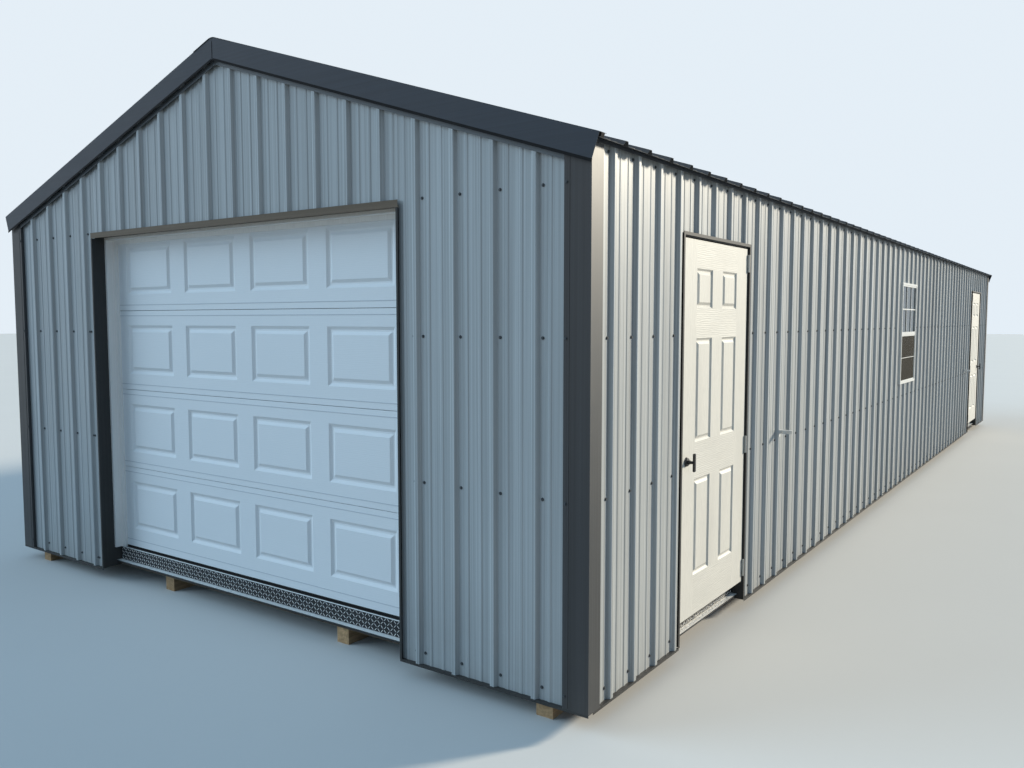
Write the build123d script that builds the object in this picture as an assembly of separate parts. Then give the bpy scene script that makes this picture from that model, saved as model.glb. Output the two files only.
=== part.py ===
# Detached steel-clad garage on skids: ribbed sheet walls and roof on a timber frame,
# an overhead door in the front gable, and two walk doors and a window in one side.
# Millimetres. X runs across the building, Y along it from the front gable to the rear,
# Z up from the ground that the skids stand on. The right-hand side, +X, has the doors.
import os
from math import atan, ceil, cos, sqrt

from build123d import *

# Overall frame, measured over the timber
frame_width = 4876.8
frame_length = 13411.2
roof_slope = 1 / 3

# Timber sections
stud_depth = 88.9
stud_width = 38.1
stud_spacing = 609.6
joist_spacing = 406.4
rafter_spacing = 1219.2
purlin_width = 88.9
purlin_thickness = 38.1
purlins_per_slope = 5
ridge_purlin_gap = 12.0
tie_depth = 88.9
walk_header_depth = 216.7
lintel_depth = 101.0
window_header_depth = 272.3

# Skids and floor
skid_height = 88.9
skid_width = 88.9
skid_inset = 184.15
skid_inner_share = 0.368
inner_skid_setback = 122.0
joist_depth = 88.9
deck_thickness = 19.05

# Ribbed steel sheet
sheet_thickness = 1.5
rib_height = 19.0
rib_pitch = 228.6
rib_top = 20.0
rib_foot = 46.0
first_side_rib = 190.5
seam = 1.0
eave_overhang = 66.0
rake_overhang = 38.0
ridge_gap = 36.0

# Folded trims
trim_thickness = 1.5
trim_stand_off = 22.0
corner_leg_front = 133.0
corner_leg_side = 100.0
rake_face = 122.0
rake_flange = 60.0
rake_hem = 7.0
rake_stand_off = 42.0
strip_face = 30.0
strip_lap = 3.0
ridge_cap_wing = 170.0
ridge_cap_projection = 4.0
ridge_cap_radius = 100.0
base_trim_drop = 12.0
base_trim_shelf = 19.05
girt_heights = (801.0, 1513.0)

# Overhead door
overhead_width = 2743.2
overhead_sections = 4
overhead_panels = 4
overhead_thickness = 44.0
section_gap = 3.0
section_margin = 134.0
section_muntin = 143.0
section_top_rail = 96.0
section_bottom_rail = 107.0
section_overlap = 43.0
seal_height = 33.5
seal_thickness = 32.0
casing_depth = 66.0
jamb_depth = 117.5
overhead_stop_width = 38.1
overhead_head_stop = 25.4
overhead_stop_thickness = 12.7
overhead_jamb_thickness = 19.05
overhead_sill_thickness = 19.05
overhead_sill_depth = 88.9

# Walk doors: leaf, frame and the clearance round the leaf
leaf_width = 908.0
leaf_height = 1998.0
leaf_thickness = 44.4
leaf_clearance = 6.8
leaf_seat_gap = 5.5
leaf_stand_off = 10.0
door_jamb_thickness = 16.0
door_jamb_depth = 98.9
door_head_thickness = 16.0
door_stop_depth = 30.0
door_stop_width = 12.0
door_centre_inset = 1390.7
hinge_height = 101.6
hinge_radius = 7.0
hinge_pin_radius = 3.0
hinge_running_gap = 0.3
hinge_leaf_width = 34.0
hinge_plate = 2.0
hinge_stand_off = 1.0
hinge_inset = 85.0
hinge_middle_share = 0.42
handle_height = 855.0
handle_backset = 61.0
handle_rose_radius = 25.0
handle_rose_thickness = 9.0
handle_rose_taper = 20.0
handle_stem_radius = 8.0
handle_reach = 52.0
handle_bar_length = 96.0
handle_bar_width = 15.0
handle_bar_thickness = 12.0
handle_bar_bevel = 3.6

# Walk door leaf laid out in rails and panels from the bottom up, and in stiles and panels across
leaf_rows = (217.0, 522.0, 197.0, 550.0, 157.0, 208.0, 147.0)
leaf_columns = (170.0, 212.0, 144.0, 212.0, 170.0)

# Raised panels: groove width and depth, and the slopes of its outer and inner side off the face's normal
leaf_moulding = (32.0, 9.0, 50.0, 58.0)
section_moulding = (46.0, 11.0, 58.0, 59.0)

# Threshold plates of tread metal
plate_thickness = 3.0
plate_flange = 40.0
plate_ledge = 34.0
plate_lip = 8.0
overhead_plate_face = 97.0
walk_plate_face = 81.0
walk_plate_inset = 56.0

# Casings round the openings
overhead_casing_lip = 12.0
head_lip = 36.0
head_lip_lap = 25.0
walk_casing_lip = 6.0
walk_casing_reveal = 5.5

# Window
window_width = 762.0
window_height = 1041.4
window_frame_width = 20.0
window_frame_depth = 90.0
window_frame_proud = 26.0
sash_width = 16.0
meeting_rail = 30.0
sash_depth = 26.0
sash_inset = 4.0
pane_thickness = 4.0

# Brackets that hold the open walk doors
bracket_distance = 640.0
bracket_height = 870.0
bracket_reach = 81.0
bracket_width = 26.0
bracket_wall = 3.0
bracket_depth = 24.0
bracket_plate = 46.0
bracket_hole_radius = 6.0
bracket_hole_share = 0.27

# Levels and planes worked out from the sizes above
half_width = frame_width / 2
half_length = frame_length / 2
outer_skid_setback = base_trim_shelf + seam
siding_bottom = skid_height
joist_top = skid_height + joist_depth
floor_top = joist_top + deck_thickness
leaf_bottom = floor_top + plate_thickness + leaf_clearance
leaf_top = leaf_bottom + leaf_height
door_opening_head = leaf_top + leaf_clearance + door_head_thickness
plate_top = door_opening_head + walk_header_depth
slope_stretch = sqrt(1 + roof_slope ** 2)
inner_x = half_width - stud_depth
inner_y = half_length - stud_depth
rafter_drop = stud_depth * slope_stretch
rafter_top_at_wall = plate_top + rafter_drop - stud_depth * roof_slope
purlin_rise = purlin_thickness * slope_stretch
sheet_base_at_wall = rafter_top_at_wall + purlin_rise
rib_rise = rib_height * slope_stretch
sheet_rise = sheet_thickness * slope_stretch
sheet_face = rib_height + sheet_thickness
roof_skin_rise = purlin_rise + rib_rise + sheet_rise
eave_reach = half_width + eave_overhang
overhead_half = overhead_width / 2
overhead_head = plate_top - lintel_depth
overhead_face = -half_length + jamb_depth + overhead_stop_thickness
door_opening_half = leaf_width / 2 + leaf_clearance + door_jamb_thickness
leaf_face = half_width + leaf_stand_off
hinge_shift = (leaf_width + leaf_clearance) / 2
near_door_y = -half_length + door_centre_inset
far_door_y = half_length - door_centre_inset
hinge_x = leaf_face + hinge_radius + hinge_stand_off
window_top = plate_top - window_header_depth
window_bottom = window_top - window_height
sill_top = floor_top + overhead_sill_thickness
plate_plane = half_width - walk_plate_inset
bracket_tip = half_width + sheet_face + bracket_reach
rake_reach = eave_reach + trim_thickness
eave_tip = eave_reach + sheet_face * roof_slope / slope_stretch
centre_x = (bracket_tip - max(rake_reach, eave_tip)) / 2

nodes = {}


# Blocks and sloping bands

def block(x0, x1, y0, y1, z0, z1):
    return Pos((x0 + x1) / 2, (y0 + y1) / 2, (z0 + z1) / 2) * Box(x1 - x0, y1 - y0, z1 - z0)


def upright(points, y0, y1):
    """Outline of (x, z) points, extruded along Y."""
    face = make_face(Polyline(*[(x, y0, z) for x, z in points], close=True))
    return extrude(face, amount=y1 - y0, dir=(0, 1, 0))


def level(points, z0, z1):
    """Outline of (x, y) points, extruded up."""
    face = make_face(Polyline(*[(x, y, z0) for x, y in points], close=True))
    return extrude(face, amount=z1 - z0, dir=(0, 0, 1))


def slope_z(x, at_wall):
    """Height over x of a roof plane that has the height at_wall over the wall face."""
    return at_wall + (half_width - abs(x)) * roof_slope


def slope_band(x0, x1, low, high, y0, y1):
    """Band that follows the roof between two heights over the rafters, cut plumb."""
    points = [(x0, slope_z(x0, rafter_top_at_wall) + low), (x1, slope_z(x1, rafter_top_at_wall) + low),
              (x1, slope_z(x1, rafter_top_at_wall) + high), (x0, slope_z(x0, rafter_top_at_wall) + high)]
    return upright(points, y0, y1)


def fused(solids):
    """One solid from pieces that are joined."""
    return solids[0].fuse(*solids[1:]).clean() if len(solids) > 1 else solids[0]


def spaced(low, high, pitch):
    """Even places from low to high, no further apart than pitch."""
    bays = max(1, ceil((high - low) / pitch - 0.01))
    return [low + (high - low) * i / bays for i in range(bays + 1)]


# Ribbed sheet

def rib_outline(start, end, ribs):
    """Closed outline of a ribbed sheet in (along, out) coordinates."""
    inner = [(start, 0.0)]
    for centre in ribs:
        if start + rib_foot / 2 < centre < end - rib_foot / 2:
            inner += [(centre - rib_foot / 2, 0.0), (centre - rib_top / 2, rib_height),
                      (centre + rib_top / 2, rib_height), (centre + rib_foot / 2, 0.0)]
    inner.append((end, 0.0))
    return inner + [(along, out + sheet_thickness) for along, out in reversed(inner)]


def front_ribs(width):
    """Rib centres across a gable, at half a pitch each side of the middle."""
    half_count = int((width / 2 - rib_pitch / 2) / rib_pitch) + 1
    return [(i - half_count + 0.5) * rib_pitch for i in range(2 * half_count)]


def side_ribs():
    """Rib centres along a side, from the front corner to the rear corner."""
    count = int((frame_length - 2 * first_side_rib) / rib_pitch + 0.5) + 1
    start = -(count - 1) * rib_pitch / 2
    return [start + i * rib_pitch for i in range(count)]


def gable_sheet(face_y, out, x0, x1, z0):
    """Ribbed sheet on a gable from x0 to x1, its top cut to the underside of the roof."""
    outline = rib_outline(x0, x1, front_ribs(frame_width - rib_pitch))
    top = slope_z(0, sheet_base_at_wall)
    sheet = level([(x, face_y + out * v) for x, v in outline], z0, top)
    under = [(-half_width - rib_pitch, z0 - 1)]
    under += [(-half_width - rib_pitch, slope_z(half_width + rib_pitch, sheet_base_at_wall))]
    under += [(0, slope_z(0, sheet_base_at_wall))]
    under += [(half_width + rib_pitch, slope_z(half_width + rib_pitch, sheet_base_at_wall))]
    under += [(half_width + rib_pitch, z0 - 1)]
    return sheet & upright(under, face_y - 2 * rib_pitch, face_y + 2 * rib_pitch)


def side_sheet(face_x, out, y0, y1, z0, z1):
    """Ribbed sheet on a side wall from y0 to y1."""
    outline = rib_outline(y0, y1, side_ribs())
    return level([(face_x + out * v, y) for y, v in outline], z0, z1)


def roof_sheet(side):
    """Ribbed sheet over one slope, its ribs running down from the ridge."""
    outline = rib_outline(-half_length - rake_overhang, half_length + rake_overhang, side_ribs())
    run = (eave_reach - ridge_gap) * slope_stretch
    start = (side * ridge_gap, 0, slope_z(ridge_gap, sheet_base_at_wall))
    down = (side * cos(atan(roof_slope)), 0, -roof_slope * cos(atan(roof_slope)))
    plane = Plane(origin=start, x_dir=(0, side, 0), z_dir=down)
    face = make_face(Polyline(*[plane.from_local_coords((side * y, v, 0)) for y, v in outline], close=True))
    return extrude(face, amount=run, dir=down)


# Skids and floor

def threshold_notches(low, high):
    """What is cut from the floor's edge behind each threshold plate."""
    notch_y = -half_length + jamb_depth
    cuts = [block(-overhead_half, overhead_half, -half_length - 1, notch_y, low, high)]
    for door_y in (near_door_y, far_door_y):
        cuts.append(block(plate_plane, half_width + 1, door_y - door_opening_half,
                          door_y + door_opening_half, low, high))
    return cuts


def build_floor():
    outer = half_width - skid_inset - skid_width / 2
    skids = []
    for offset, setback in ((outer * skid_inner_share, inner_skid_setback), (outer, outer_skid_setback)):
        for side in (-1, 1):
            x = side * offset
            skids.append(block(x - skid_width / 2, x + skid_width / 2, -half_length + setback,
                               half_length - setback, 0, skid_height))
    nodes["skids"] = Compound(children=skids)

    frame = [block(side * half_width - (stud_width if side > 0 else 0),
                   side * half_width + (stud_width if side < 0 else 0),
                   -half_length, half_length, skid_height, joist_top) for side in (-1, 1)]
    joist_half = stud_width / 2
    for y in spaced(-half_length + joist_half, half_length - joist_half, joist_spacing):
        frame.append(block(-half_width, half_width, y - joist_half, y + joist_half, skid_height, joist_top))
    notch_y = -half_length + jamb_depth
    frame.append(block(-overhead_half, overhead_half, notch_y, notch_y + stud_width, skid_height, joist_top))
    frame = fused(frame)
    deck = block(-half_width, half_width, -half_length, half_length, joist_top, floor_top)
    for cut in threshold_notches(skid_height - 1, floor_top + 1):
        frame = frame - cut
        deck = deck - cut
    nodes["floor_frame"] = frame
    nodes["floor_deck"] = deck


# Timber walls

def wall_lattice(low, high, bottom, top, place):
    """Studs, plates and girts of one stretch of wall; place(a0, a1, z0, z1) makes a member."""
    members = [place(low, high, bottom, bottom + stud_width), place(low, high, top - 2 * stud_width, top)]
    for a in spaced(low + stud_width / 2, high - stud_width / 2, stud_spacing):
        members.append(place(a - stud_width / 2, a + stud_width / 2, bottom, top))
    for height in girt_heights:
        if bottom < floor_top + height < top:
            z = floor_top + height
            members.append(place(low, high, z - stud_width / 2, z + stud_width / 2))
    return members


def gable_members(y0, y1, x0, x1, bottom, seat):
    """Studs between a gable's bottom timber and the end rafters."""
    members = []
    for x in spaced(x0, x1, stud_spacing):
        top = slope_z(x, rafter_top_at_wall) - rafter_drop - stud_width * roof_slope / 2
        if top > seat + stud_width:
            points = [(x - stud_width / 2, bottom), (x + stud_width / 2, bottom),
                      (x + stud_width / 2, slope_z(x + stud_width / 2, rafter_top_at_wall) - rafter_drop),
                      (x - stud_width / 2, slope_z(x - stud_width / 2, rafter_top_at_wall) - rafter_drop)]
            if x - stud_width / 2 < 0 < x + stud_width / 2:
                points.insert(3, (0, slope_z(0, rafter_top_at_wall) - rafter_drop))
            members.append(upright(points, y0, y1))
    return members


def build_walls():
    front = (-half_length, -inner_y)
    rear = (inner_y, half_length)

    def across(y_pair):
        return lambda a0, a1, z0, z1: block(a0, a1, y_pair[0], y_pair[1], z0, z1)

    def along(x0, x1):
        return lambda a0, a1, z0, z1: block(x0, x1, a0, a1, z0, z1)

    sides = [fused(wall_lattice(-half_width, -overhead_half, floor_top, plate_top, across(front))),
             fused(wall_lattice(overhead_half, half_width, floor_top, plate_top, across(front)))]
    nodes["front_wall_frame"] = Compound(children=sides)

    lintel = block(-overhead_half, overhead_half, front[0], front[1], overhead_head, plate_top)
    ledger = block(-overhead_half, overhead_half, front[0], front[1], plate_top, plate_top + stud_width)
    edge = overhead_half - stud_width / 2
    studs = gable_members(front[0], front[1], -edge, edge, plate_top, plate_top)
    nodes["front_gable_frame"] = fused([lintel, ledger] + studs)

    rear_members = wall_lattice(-half_width, half_width, floor_top, plate_top, across(rear))
    rear_members += gable_members(rear[0], rear[1], -overhead_half, overhead_half, plate_top - stud_width,
                                  plate_top)
    nodes["rear_wall_frame"] = fused(rear_members)

    nodes["left_wall_frame"] = fused(
        wall_lattice(-inner_y, inner_y, floor_top, plate_top, along(-half_width, -inner_x)))

    stretches = [(-inner_y, near_door_y - door_opening_half),
                 (near_door_y + door_opening_half, far_door_y - door_opening_half),
                 (far_door_y + door_opening_half, inner_y)]
    right = []
    for low, high in stretches:
        members = wall_lattice(low, high, floor_top, plate_top, along(inner_x, half_width))
        if low < 0 < high:
            for y in (-window_width / 2 - stud_width, window_width / 2):
                members.append(block(inner_x, half_width, y, y + stud_width, floor_top, plate_top))
            half = window_width / 2
            for z in (window_bottom - stud_width, window_top):
                members.append(block(inner_x, half_width, -half, half, z, z + stud_width))
            hole = block(inner_x - 1, half_width + 1, -half, half, window_bottom, window_top)
            right.append(fused(members) - hole)
        else:
            right.append(fused(members))
    nodes["right_wall_frame"] = Compound(children=right)

    headers = []
    for door_y in (near_door_y, far_door_y):
        headers.append(block(inner_x, half_width, door_y - door_opening_half, door_y + door_opening_half,
                             door_opening_head, plate_top))
    nodes["walk_door_headers"] = Compound(children=headers)


# Roof timbers, sheets and trims

def build_roof_frame():
    rafters = []
    ties = []
    half_board = stud_width / 2
    stations = spaced(-half_length + stud_width / 2, half_length - stud_width / 2, rafter_spacing)
    for y in stations:
        for side in (-1, 1):
            points = [(side * half_board, slope_z(half_board, rafter_top_at_wall)),
                      (side * half_width, rafter_top_at_wall), (side * half_width, plate_top),
                      (side * inner_x, plate_top),
                      (side * half_board, slope_z(half_board, rafter_top_at_wall) - rafter_drop)]
            rafters.append(upright(points, y - stud_width / 2, y + stud_width / 2))
    for y in stations[1:-1]:
        tie_end = half_width - (plate_top + tie_depth - rafter_top_at_wall) / roof_slope
        points = [(-half_width, plate_top), (half_width, plate_top), (half_width, rafter_top_at_wall),
                  (tie_end, plate_top + tie_depth), (-tie_end, plate_top + tie_depth),
                  (-half_width, rafter_top_at_wall)]
        ties.append(upright(points, y + stud_width / 2, y + 3 * stud_width / 2))
    nodes["roof_rafters"] = Compound(children=rafters)
    nodes["ceiling_ties"] = Compound(children=ties)

    ridge_top = slope_z(half_board, rafter_top_at_wall)
    nodes["ridge_board"] = block(-half_board, half_board, -half_length, half_length,
                                 ridge_top - rafter_drop, ridge_top)

    purlins = []
    run = purlin_width / slope_stretch
    first = half_width - run
    last = half_board + ridge_purlin_gap
    for side in (-1, 1):
        for i in range(purlins_per_slope):
            x = first + (last - first) * i / (purlins_per_slope - 1)
            purlins.append(slope_band(side * x, side * (x + run), 0, purlin_rise, -half_length, half_length))
    nodes["roof_purlins"] = Compound(children=purlins)


def ordered(a, b):
    return (a, b) if a < b else (b, a)


def square_band(x0, x1, low, high, top, y0, y1):
    """Band that follows the roof between two heights, its end at x1 cut square to the slope.

    The cut passes through x1 at the height top, so what lies lower ends nearer the wall."""
    side = 1 if x1 > x0 else -1
    lean = roof_slope / (1 + roof_slope ** 2)
    low_end = x1 - side * (top - low) * lean
    high_end = x1 - side * (top - high) * lean
    corners = ((x0, low), (low_end, low), (high_end, high), (x0, high))
    return upright([(x, slope_z(x, rafter_top_at_wall) + rise) for x, rise in corners], y0, y1)


def tent(peak, half, reach):
    """Prism under the roof's two slopes, its ridge at height peak."""
    low = peak - half * roof_slope
    return upright([(0, peak), (half, low), (-half, low)], -reach, reach)


def ridge_corner():
    """What the ridge cap's bend leaves out of the sharp peak under it, with a seam between them."""
    peak = slope_z(0, rafter_top_at_wall) + roof_skin_rise
    reach = half_length + rake_stand_off + ridge_cap_projection
    kept = tent(peak - seam, 2 * ridge_cap_radius, reach)
    ridge = kept.edges().filter_by(Axis.Y).sort_by(Axis.Z)[-1]
    return tent(peak, ridge_cap_radius, reach) - fillet(ridge, ridge_cap_radius - trim_thickness)


def rake_trim(side, end):
    """Folded trim along one sloping gable edge: flange on the roof, face and bottom hem."""
    face_y = half_length + rake_stand_off
    top = roof_skin_rise
    rise = trim_thickness * slope_stretch
    start = side * seam / 2
    outer = side * rake_reach
    flange = ordered(end * (face_y - rake_flange), end * face_y)
    face = ordered(end * (face_y - trim_thickness), end * face_y)
    hem = ordered(end * (face_y - rake_hem), end * face_y)
    pieces = [square_band(side * ridge_cap_wing, outer, top, top + rise, top + rise, *flange),
              square_band(start, outer, top - rake_face, top, top + rise, *face),
              square_band(start, outer, top - rake_face, top - rake_face + rise, top + rise, *hem)]
    return fused(pieces) - ridge_corner()


def gable_strip(side, end):
    """Strip under the rake trim, against the ribs, that covers the cut top of the wall sheet."""
    top = roof_skin_rise - rake_face + strip_lap
    near = half_length + sheet_face
    outer = side * (half_width + trim_stand_off - corner_leg_front - seam)
    return slope_band(side * seam / 2, outer, top - strip_face, top,
                      *ordered(end * near, end * (near + trim_thickness)))


def build_roof_skin():
    nodes["roof_sheets"] = Compound(children=[roof_sheet(-1), roof_sheet(1)])

    low = roof_skin_rise
    high = low + trim_thickness * slope_stretch
    reach = half_length + rake_stand_off + ridge_cap_projection
    wings = [slope_band(0, side * (ridge_cap_wing - seam), low, high, -reach, reach) for side in (-1, 1)]
    cap = fused(wings)
    inner_bend = cap.edges().filter_by(Axis.Y).filter_by_position(Axis.X, -seam, seam).sort_by(Axis.Z)[0]
    cap = fillet(inner_bend, ridge_cap_radius - trim_thickness)
    nodes["ridge_cap"] = fillet(cap.edges().filter_by(Axis.Y).sort_by(Axis.Z)[-1], ridge_cap_radius)

    corners = [(side, end) for side in (-1, 1) for end in (-1, 1)]
    nodes["rake_trims"] = Compound(children=[rake_trim(side, end) for side, end in corners])
    nodes["gable_strips"] = Compound(children=[gable_strip(side, end) for side, end in corners])


# Wall sheets and their trims

def build_cladding():
    edge = sheet_thickness
    opening_x = overhead_half
    front = [gable_sheet(-half_length, -1, -half_width, -opening_x - seam, siding_bottom),
             gable_sheet(-half_length, -1, opening_x + seam, half_width, siding_bottom),
             gable_sheet(-half_length, -1, -opening_x, opening_x, overhead_head)]
    nodes["front_cladding"] = Compound(children=front)
    nodes["rear_cladding"] = gable_sheet(half_length, 1, -half_width, half_width, siding_bottom)

    side_top = sheet_base_at_wall - sheet_face * roof_slope - seam
    end_y = half_length - edge
    nodes["left_cladding"] = side_sheet(-half_width, -1, -end_y, end_y, siding_bottom, side_top)

    right = []
    starts = [-end_y, near_door_y + door_opening_half, far_door_y + door_opening_half]
    ends = [near_door_y - door_opening_half, far_door_y - door_opening_half, end_y]
    for y0, y1 in zip(starts, ends):
        sheet = side_sheet(half_width, 1, y0, y1, siding_bottom, side_top)
        if y0 < 0 < y1:
            half = window_width / 2
            sheet = sheet - block(half_width - 1, half_width + rib_pitch, -half, half,
                                  window_bottom, window_top)
        right.append(sheet)
    for door_y in (near_door_y, far_door_y):
        right.append(side_sheet(half_width, 1, door_y - door_opening_half + seam,
                                door_y + door_opening_half - seam, door_opening_head, side_top))
    nodes["right_cladding"] = Compound(children=right)


def corner_outline(side, end):
    """Corner trim in plan: two legs that stand off the sheets and turn back to them."""
    x0 = half_width + sheet_thickness
    y0 = half_length + sheet_thickness
    x1 = half_width + trim_stand_off
    y1 = half_length + trim_stand_off
    t = trim_thickness
    leg_x = half_width - corner_leg_front + trim_stand_off
    leg_y = half_length - corner_leg_side + trim_stand_off
    outer = [(leg_x, y0), (leg_x, y1), (x1, y1), (x1, leg_y), (x0, leg_y)]
    inner = [(x0, leg_y + t), (x1 - t, leg_y + t), (x1 - t, y1 - t), (leg_x + t, y1 - t), (leg_x + t, y0)]
    return [(side * x, end * y) for x, y in outer + inner]


def build_trims():
    side_top = sheet_base_at_wall - sheet_face * roof_slope - seam
    corner_top = side_top - trim_stand_off
    corners = [level(corner_outline(side, end), siding_bottom, corner_top)
               for side in (-1, 1) for end in (-1, 1)]
    nodes["corner_trims"] = Compound(children=corners)

    low = siding_bottom - base_trim_drop
    t = trim_thickness
    out = trim_stand_off

    def along_x(x0, x1, end):
        y0 = end * (half_length - base_trim_shelf)
        y1 = end * (half_length + out)
        shelf = block(x0, x1, *ordered(y0, y1), siding_bottom - t, siding_bottom)
        drip = block(x0, x1, *ordered(end * (half_length + out - t), y1), low, siding_bottom)
        return fused([shelf, drip])

    def along_y(y0, y1, side):
        x0 = side * (half_width - base_trim_shelf)
        x1 = side * (half_width + out)
        shelf = block(*ordered(x0, x1), y0, y1, siding_bottom - t, siding_bottom)
        drip = block(*ordered(side * (half_width + out - t), x1), y0, y1, low, siding_bottom)
        return fused([shelf, drip])

    reach_x = half_width + out
    end_y = half_length - base_trim_shelf - seam
    front_left = along_x(-reach_x, -overhead_half, -1)
    front_right = along_x(overhead_half, reach_x, -1)
    pieces = [front_left, front_right, along_x(-reach_x, reach_x, 1), along_y(-end_y, end_y, -1),
              along_y(-end_y, near_door_y - door_opening_half, 1),
              along_y(near_door_y + door_opening_half, far_door_y - door_opening_half, 1),
              along_y(far_door_y + door_opening_half, end_y, 1)]
    nodes["base_trims"] = Compound(children=pieces)


# Raised panels

def panelled_slab(width, height, thickness, panels, moulding, both_faces):
    """Slab with its front at y = 0 facing -Y, a bevelled groove round each raised panel."""
    groove, depth, outer_taper, inner_taper = moulding
    slab = block(-width / 2, width / 2, 0, thickness, 0, height)
    for surface, turn in ((0, -90), (thickness, 90))[:2 if both_faces else 1]:
        for x0, x1, z0, z1 in panels:
            spot = Pos((x0 + x1) / 2, surface, (z0 + z1) / 2) * Rot(turn, 0, 0)
            pocket = extrude(Rectangle(x1 - x0, z1 - z0), amount=depth, taper=outer_taper)
            field = Rectangle(x1 - x0 - 2 * groove, z1 - z0 - 2 * groove)
            raised = extrude(field, amount=depth, taper=-inner_taper)
            slab = slab - spot * (pocket - raised)
    return slab


def strips(pattern, length, start):
    """Low and high end of every second strip of a pattern stretched to a length."""
    places = [start]
    for strip in pattern:
        places.append(places[-1] + strip * length / sum(pattern))
    return [(places[i], places[i + 1]) for i in range(1, len(pattern), 2)]


def leaf_panels():
    rows = strips(leaf_rows, leaf_height, 0.0)
    columns = strips(leaf_columns, leaf_width, -leaf_width / 2)
    return [(x0, x1, z0, z1) for x0, x1 in columns for z0, z1 in rows]


# Overhead door

def threshold_outline(top, drop):
    """Section of a threshold plate as (out, z): flange, face down to a ledge, and the ledge's lip."""
    t = plate_thickness
    foot = top - drop
    tip = plate_ledge + t
    lip = foot - plate_lip
    return [(-plate_flange, top - t), (0, top - t), (0, foot), (plate_ledge, foot), (plate_ledge, lip),
            (tip, lip), (tip, foot + t), (t, foot + t), (t, top), (-plate_flange, top)]


def build_overhead_door():
    t = overhead_jamb_thickness
    front = -half_length
    back = front + jamb_depth
    inside = overhead_half - t
    plate_high = sill_top + plate_thickness
    head = overhead_head - t

    bottom = plate_high + seal_height
    section_height = (overhead_head + section_overlap - bottom) / overhead_sections - section_gap
    muntins = (overhead_panels - 1) * section_muntin
    panel_width = (2 * inside - 2 * section_margin - muntins) / overhead_panels
    panels = []
    for i in range(overhead_panels):
        x0 = -inside + section_margin + i * (panel_width + section_muntin)
        panels.append((x0, x0 + panel_width, section_bottom_rail, section_height - section_top_rail))
    section = panelled_slab(2 * inside, section_height, overhead_thickness, panels, section_moulding, False)
    sections = [Pos(0, overhead_face, bottom + i * (section_height + section_gap)) * section
                for i in range(overhead_sections)]
    seal_y = overhead_face + (overhead_thickness - seal_thickness) / 2
    seal = block(-inside, inside, seal_y, seal_y + seal_thickness, plate_high, bottom)
    sections[0] = fused([sections[0], seal])
    nodes["overhead_door_sections"] = Compound(children=sections)

    jambs = [block(*ordered(side * inside, side * overhead_half), front + casing_depth, back, plate_high,
                   head - seam / 2) for side in (-1, 1)]
    lining_bottom = overhead_head - trim_thickness
    jambs.append(block(-overhead_half, overhead_half, front + casing_depth, back, head, overhead_head))
    nodes["overhead_door_jambs"] = Compound(children=jambs)

    edge = inside - overhead_stop_width
    stops = [block(*ordered(side * edge, side * inside), back, overhead_face, plate_high, head)
             for side in (-1, 1)]
    edge = edge - seam / 2
    stops.append(block(-edge, edge, back, overhead_face, head - overhead_head_stop, head))
    nodes["overhead_door_stops"] = Compound(children=stops)

    face_front = front - trim_stand_off
    brow_bottom = overhead_head + head_lip_lap - head_lip
    casings = []
    for side in (-1, 1):
        x0, x1 = ordered(side * (overhead_half - trim_thickness), side * overhead_half)
        lip = ordered(side * overhead_half, side * (overhead_half + overhead_casing_lip))
        upper = block(x0, x1, face_front, front + casing_depth, plate_high, lining_bottom - seam / 2)
        upper = upper - block(x0, x1, face_front, front, brow_bottom - seam / 2, overhead_head)
        lower = block(x0, x1, face_front, back, siding_bottom, plate_high)
        face = block(*lip, face_front, face_front + trim_thickness, siding_bottom, brow_bottom - seam / 2)
        casings.append(fused([upper, lower, face]))
    nodes["overhead_door_casings"] = Compound(children=casings)

    reach = overhead_half + overhead_casing_lip
    lining = block(-overhead_half, overhead_half, face_front, front + casing_depth,
                   lining_bottom, overhead_head)
    brow = block(-reach, reach, face_front, face_front + trim_thickness, brow_bottom, brow_bottom + head_lip)
    nodes["overhead_door_head_trim"] = fused([lining, brow])

    reach = overhead_half - trim_thickness
    nodes["overhead_door_sill"] = block(-reach, reach, back, back + overhead_sill_depth, floor_top, sill_top)
    outline = [(-reach, back - out, z) for out, z in threshold_outline(plate_high, overhead_plate_face)]
    section = make_face(Polyline(*outline, close=True))
    nodes["overhead_door_threshold"] = extrude(section, amount=2 * reach, dir=(1, 0, 0))


# Walk doors

def hinge_parts(y, side, z):
    """The fixed and the swinging half of one hinge; side points from the leaf to its jamb."""
    gap = leaf_clearance / 2
    quarter = hinge_height / 4
    top = z + hinge_height
    centre = Pos(hinge_x, y, z)
    align = (Align.CENTER, Align.CENTER, Align.MIN)
    fixed = centre * Cylinder(hinge_pin_radius, hinge_height, align=align)
    for low in (z, top - quarter):
        fixed = fixed + Pos(hinge_x, y, low) * Cylinder(hinge_radius, quarter, align=align)
        fixed = fixed + block(leaf_face, hinge_x, *ordered(y + side * (gap - hinge_plate), y + side * gap),
                              low, low + quarter)
    fixed = fixed + block(leaf_face - hinge_leaf_width, leaf_face,
                          *ordered(y + side * (gap - hinge_plate), y + side * gap), z, top)
    low = z + quarter + hinge_running_gap
    high = top - quarter - hinge_running_gap
    swinging = Pos(hinge_x, y, low) * Cylinder(hinge_radius, high - low, align=align)
    swinging = swinging + block(leaf_face, hinge_x, *ordered(y - side * gap, y - side * (gap - hinge_plate)),
                                low, high)
    swinging = swinging + block(leaf_face - hinge_leaf_width, leaf_face,
                                *ordered(y - side * gap, y - side * (gap - hinge_plate)), z, top)
    swinging = swinging - centre * Cylinder(hinge_pin_radius + hinge_running_gap, hinge_height, align=align)
    return fixed, swinging


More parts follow.
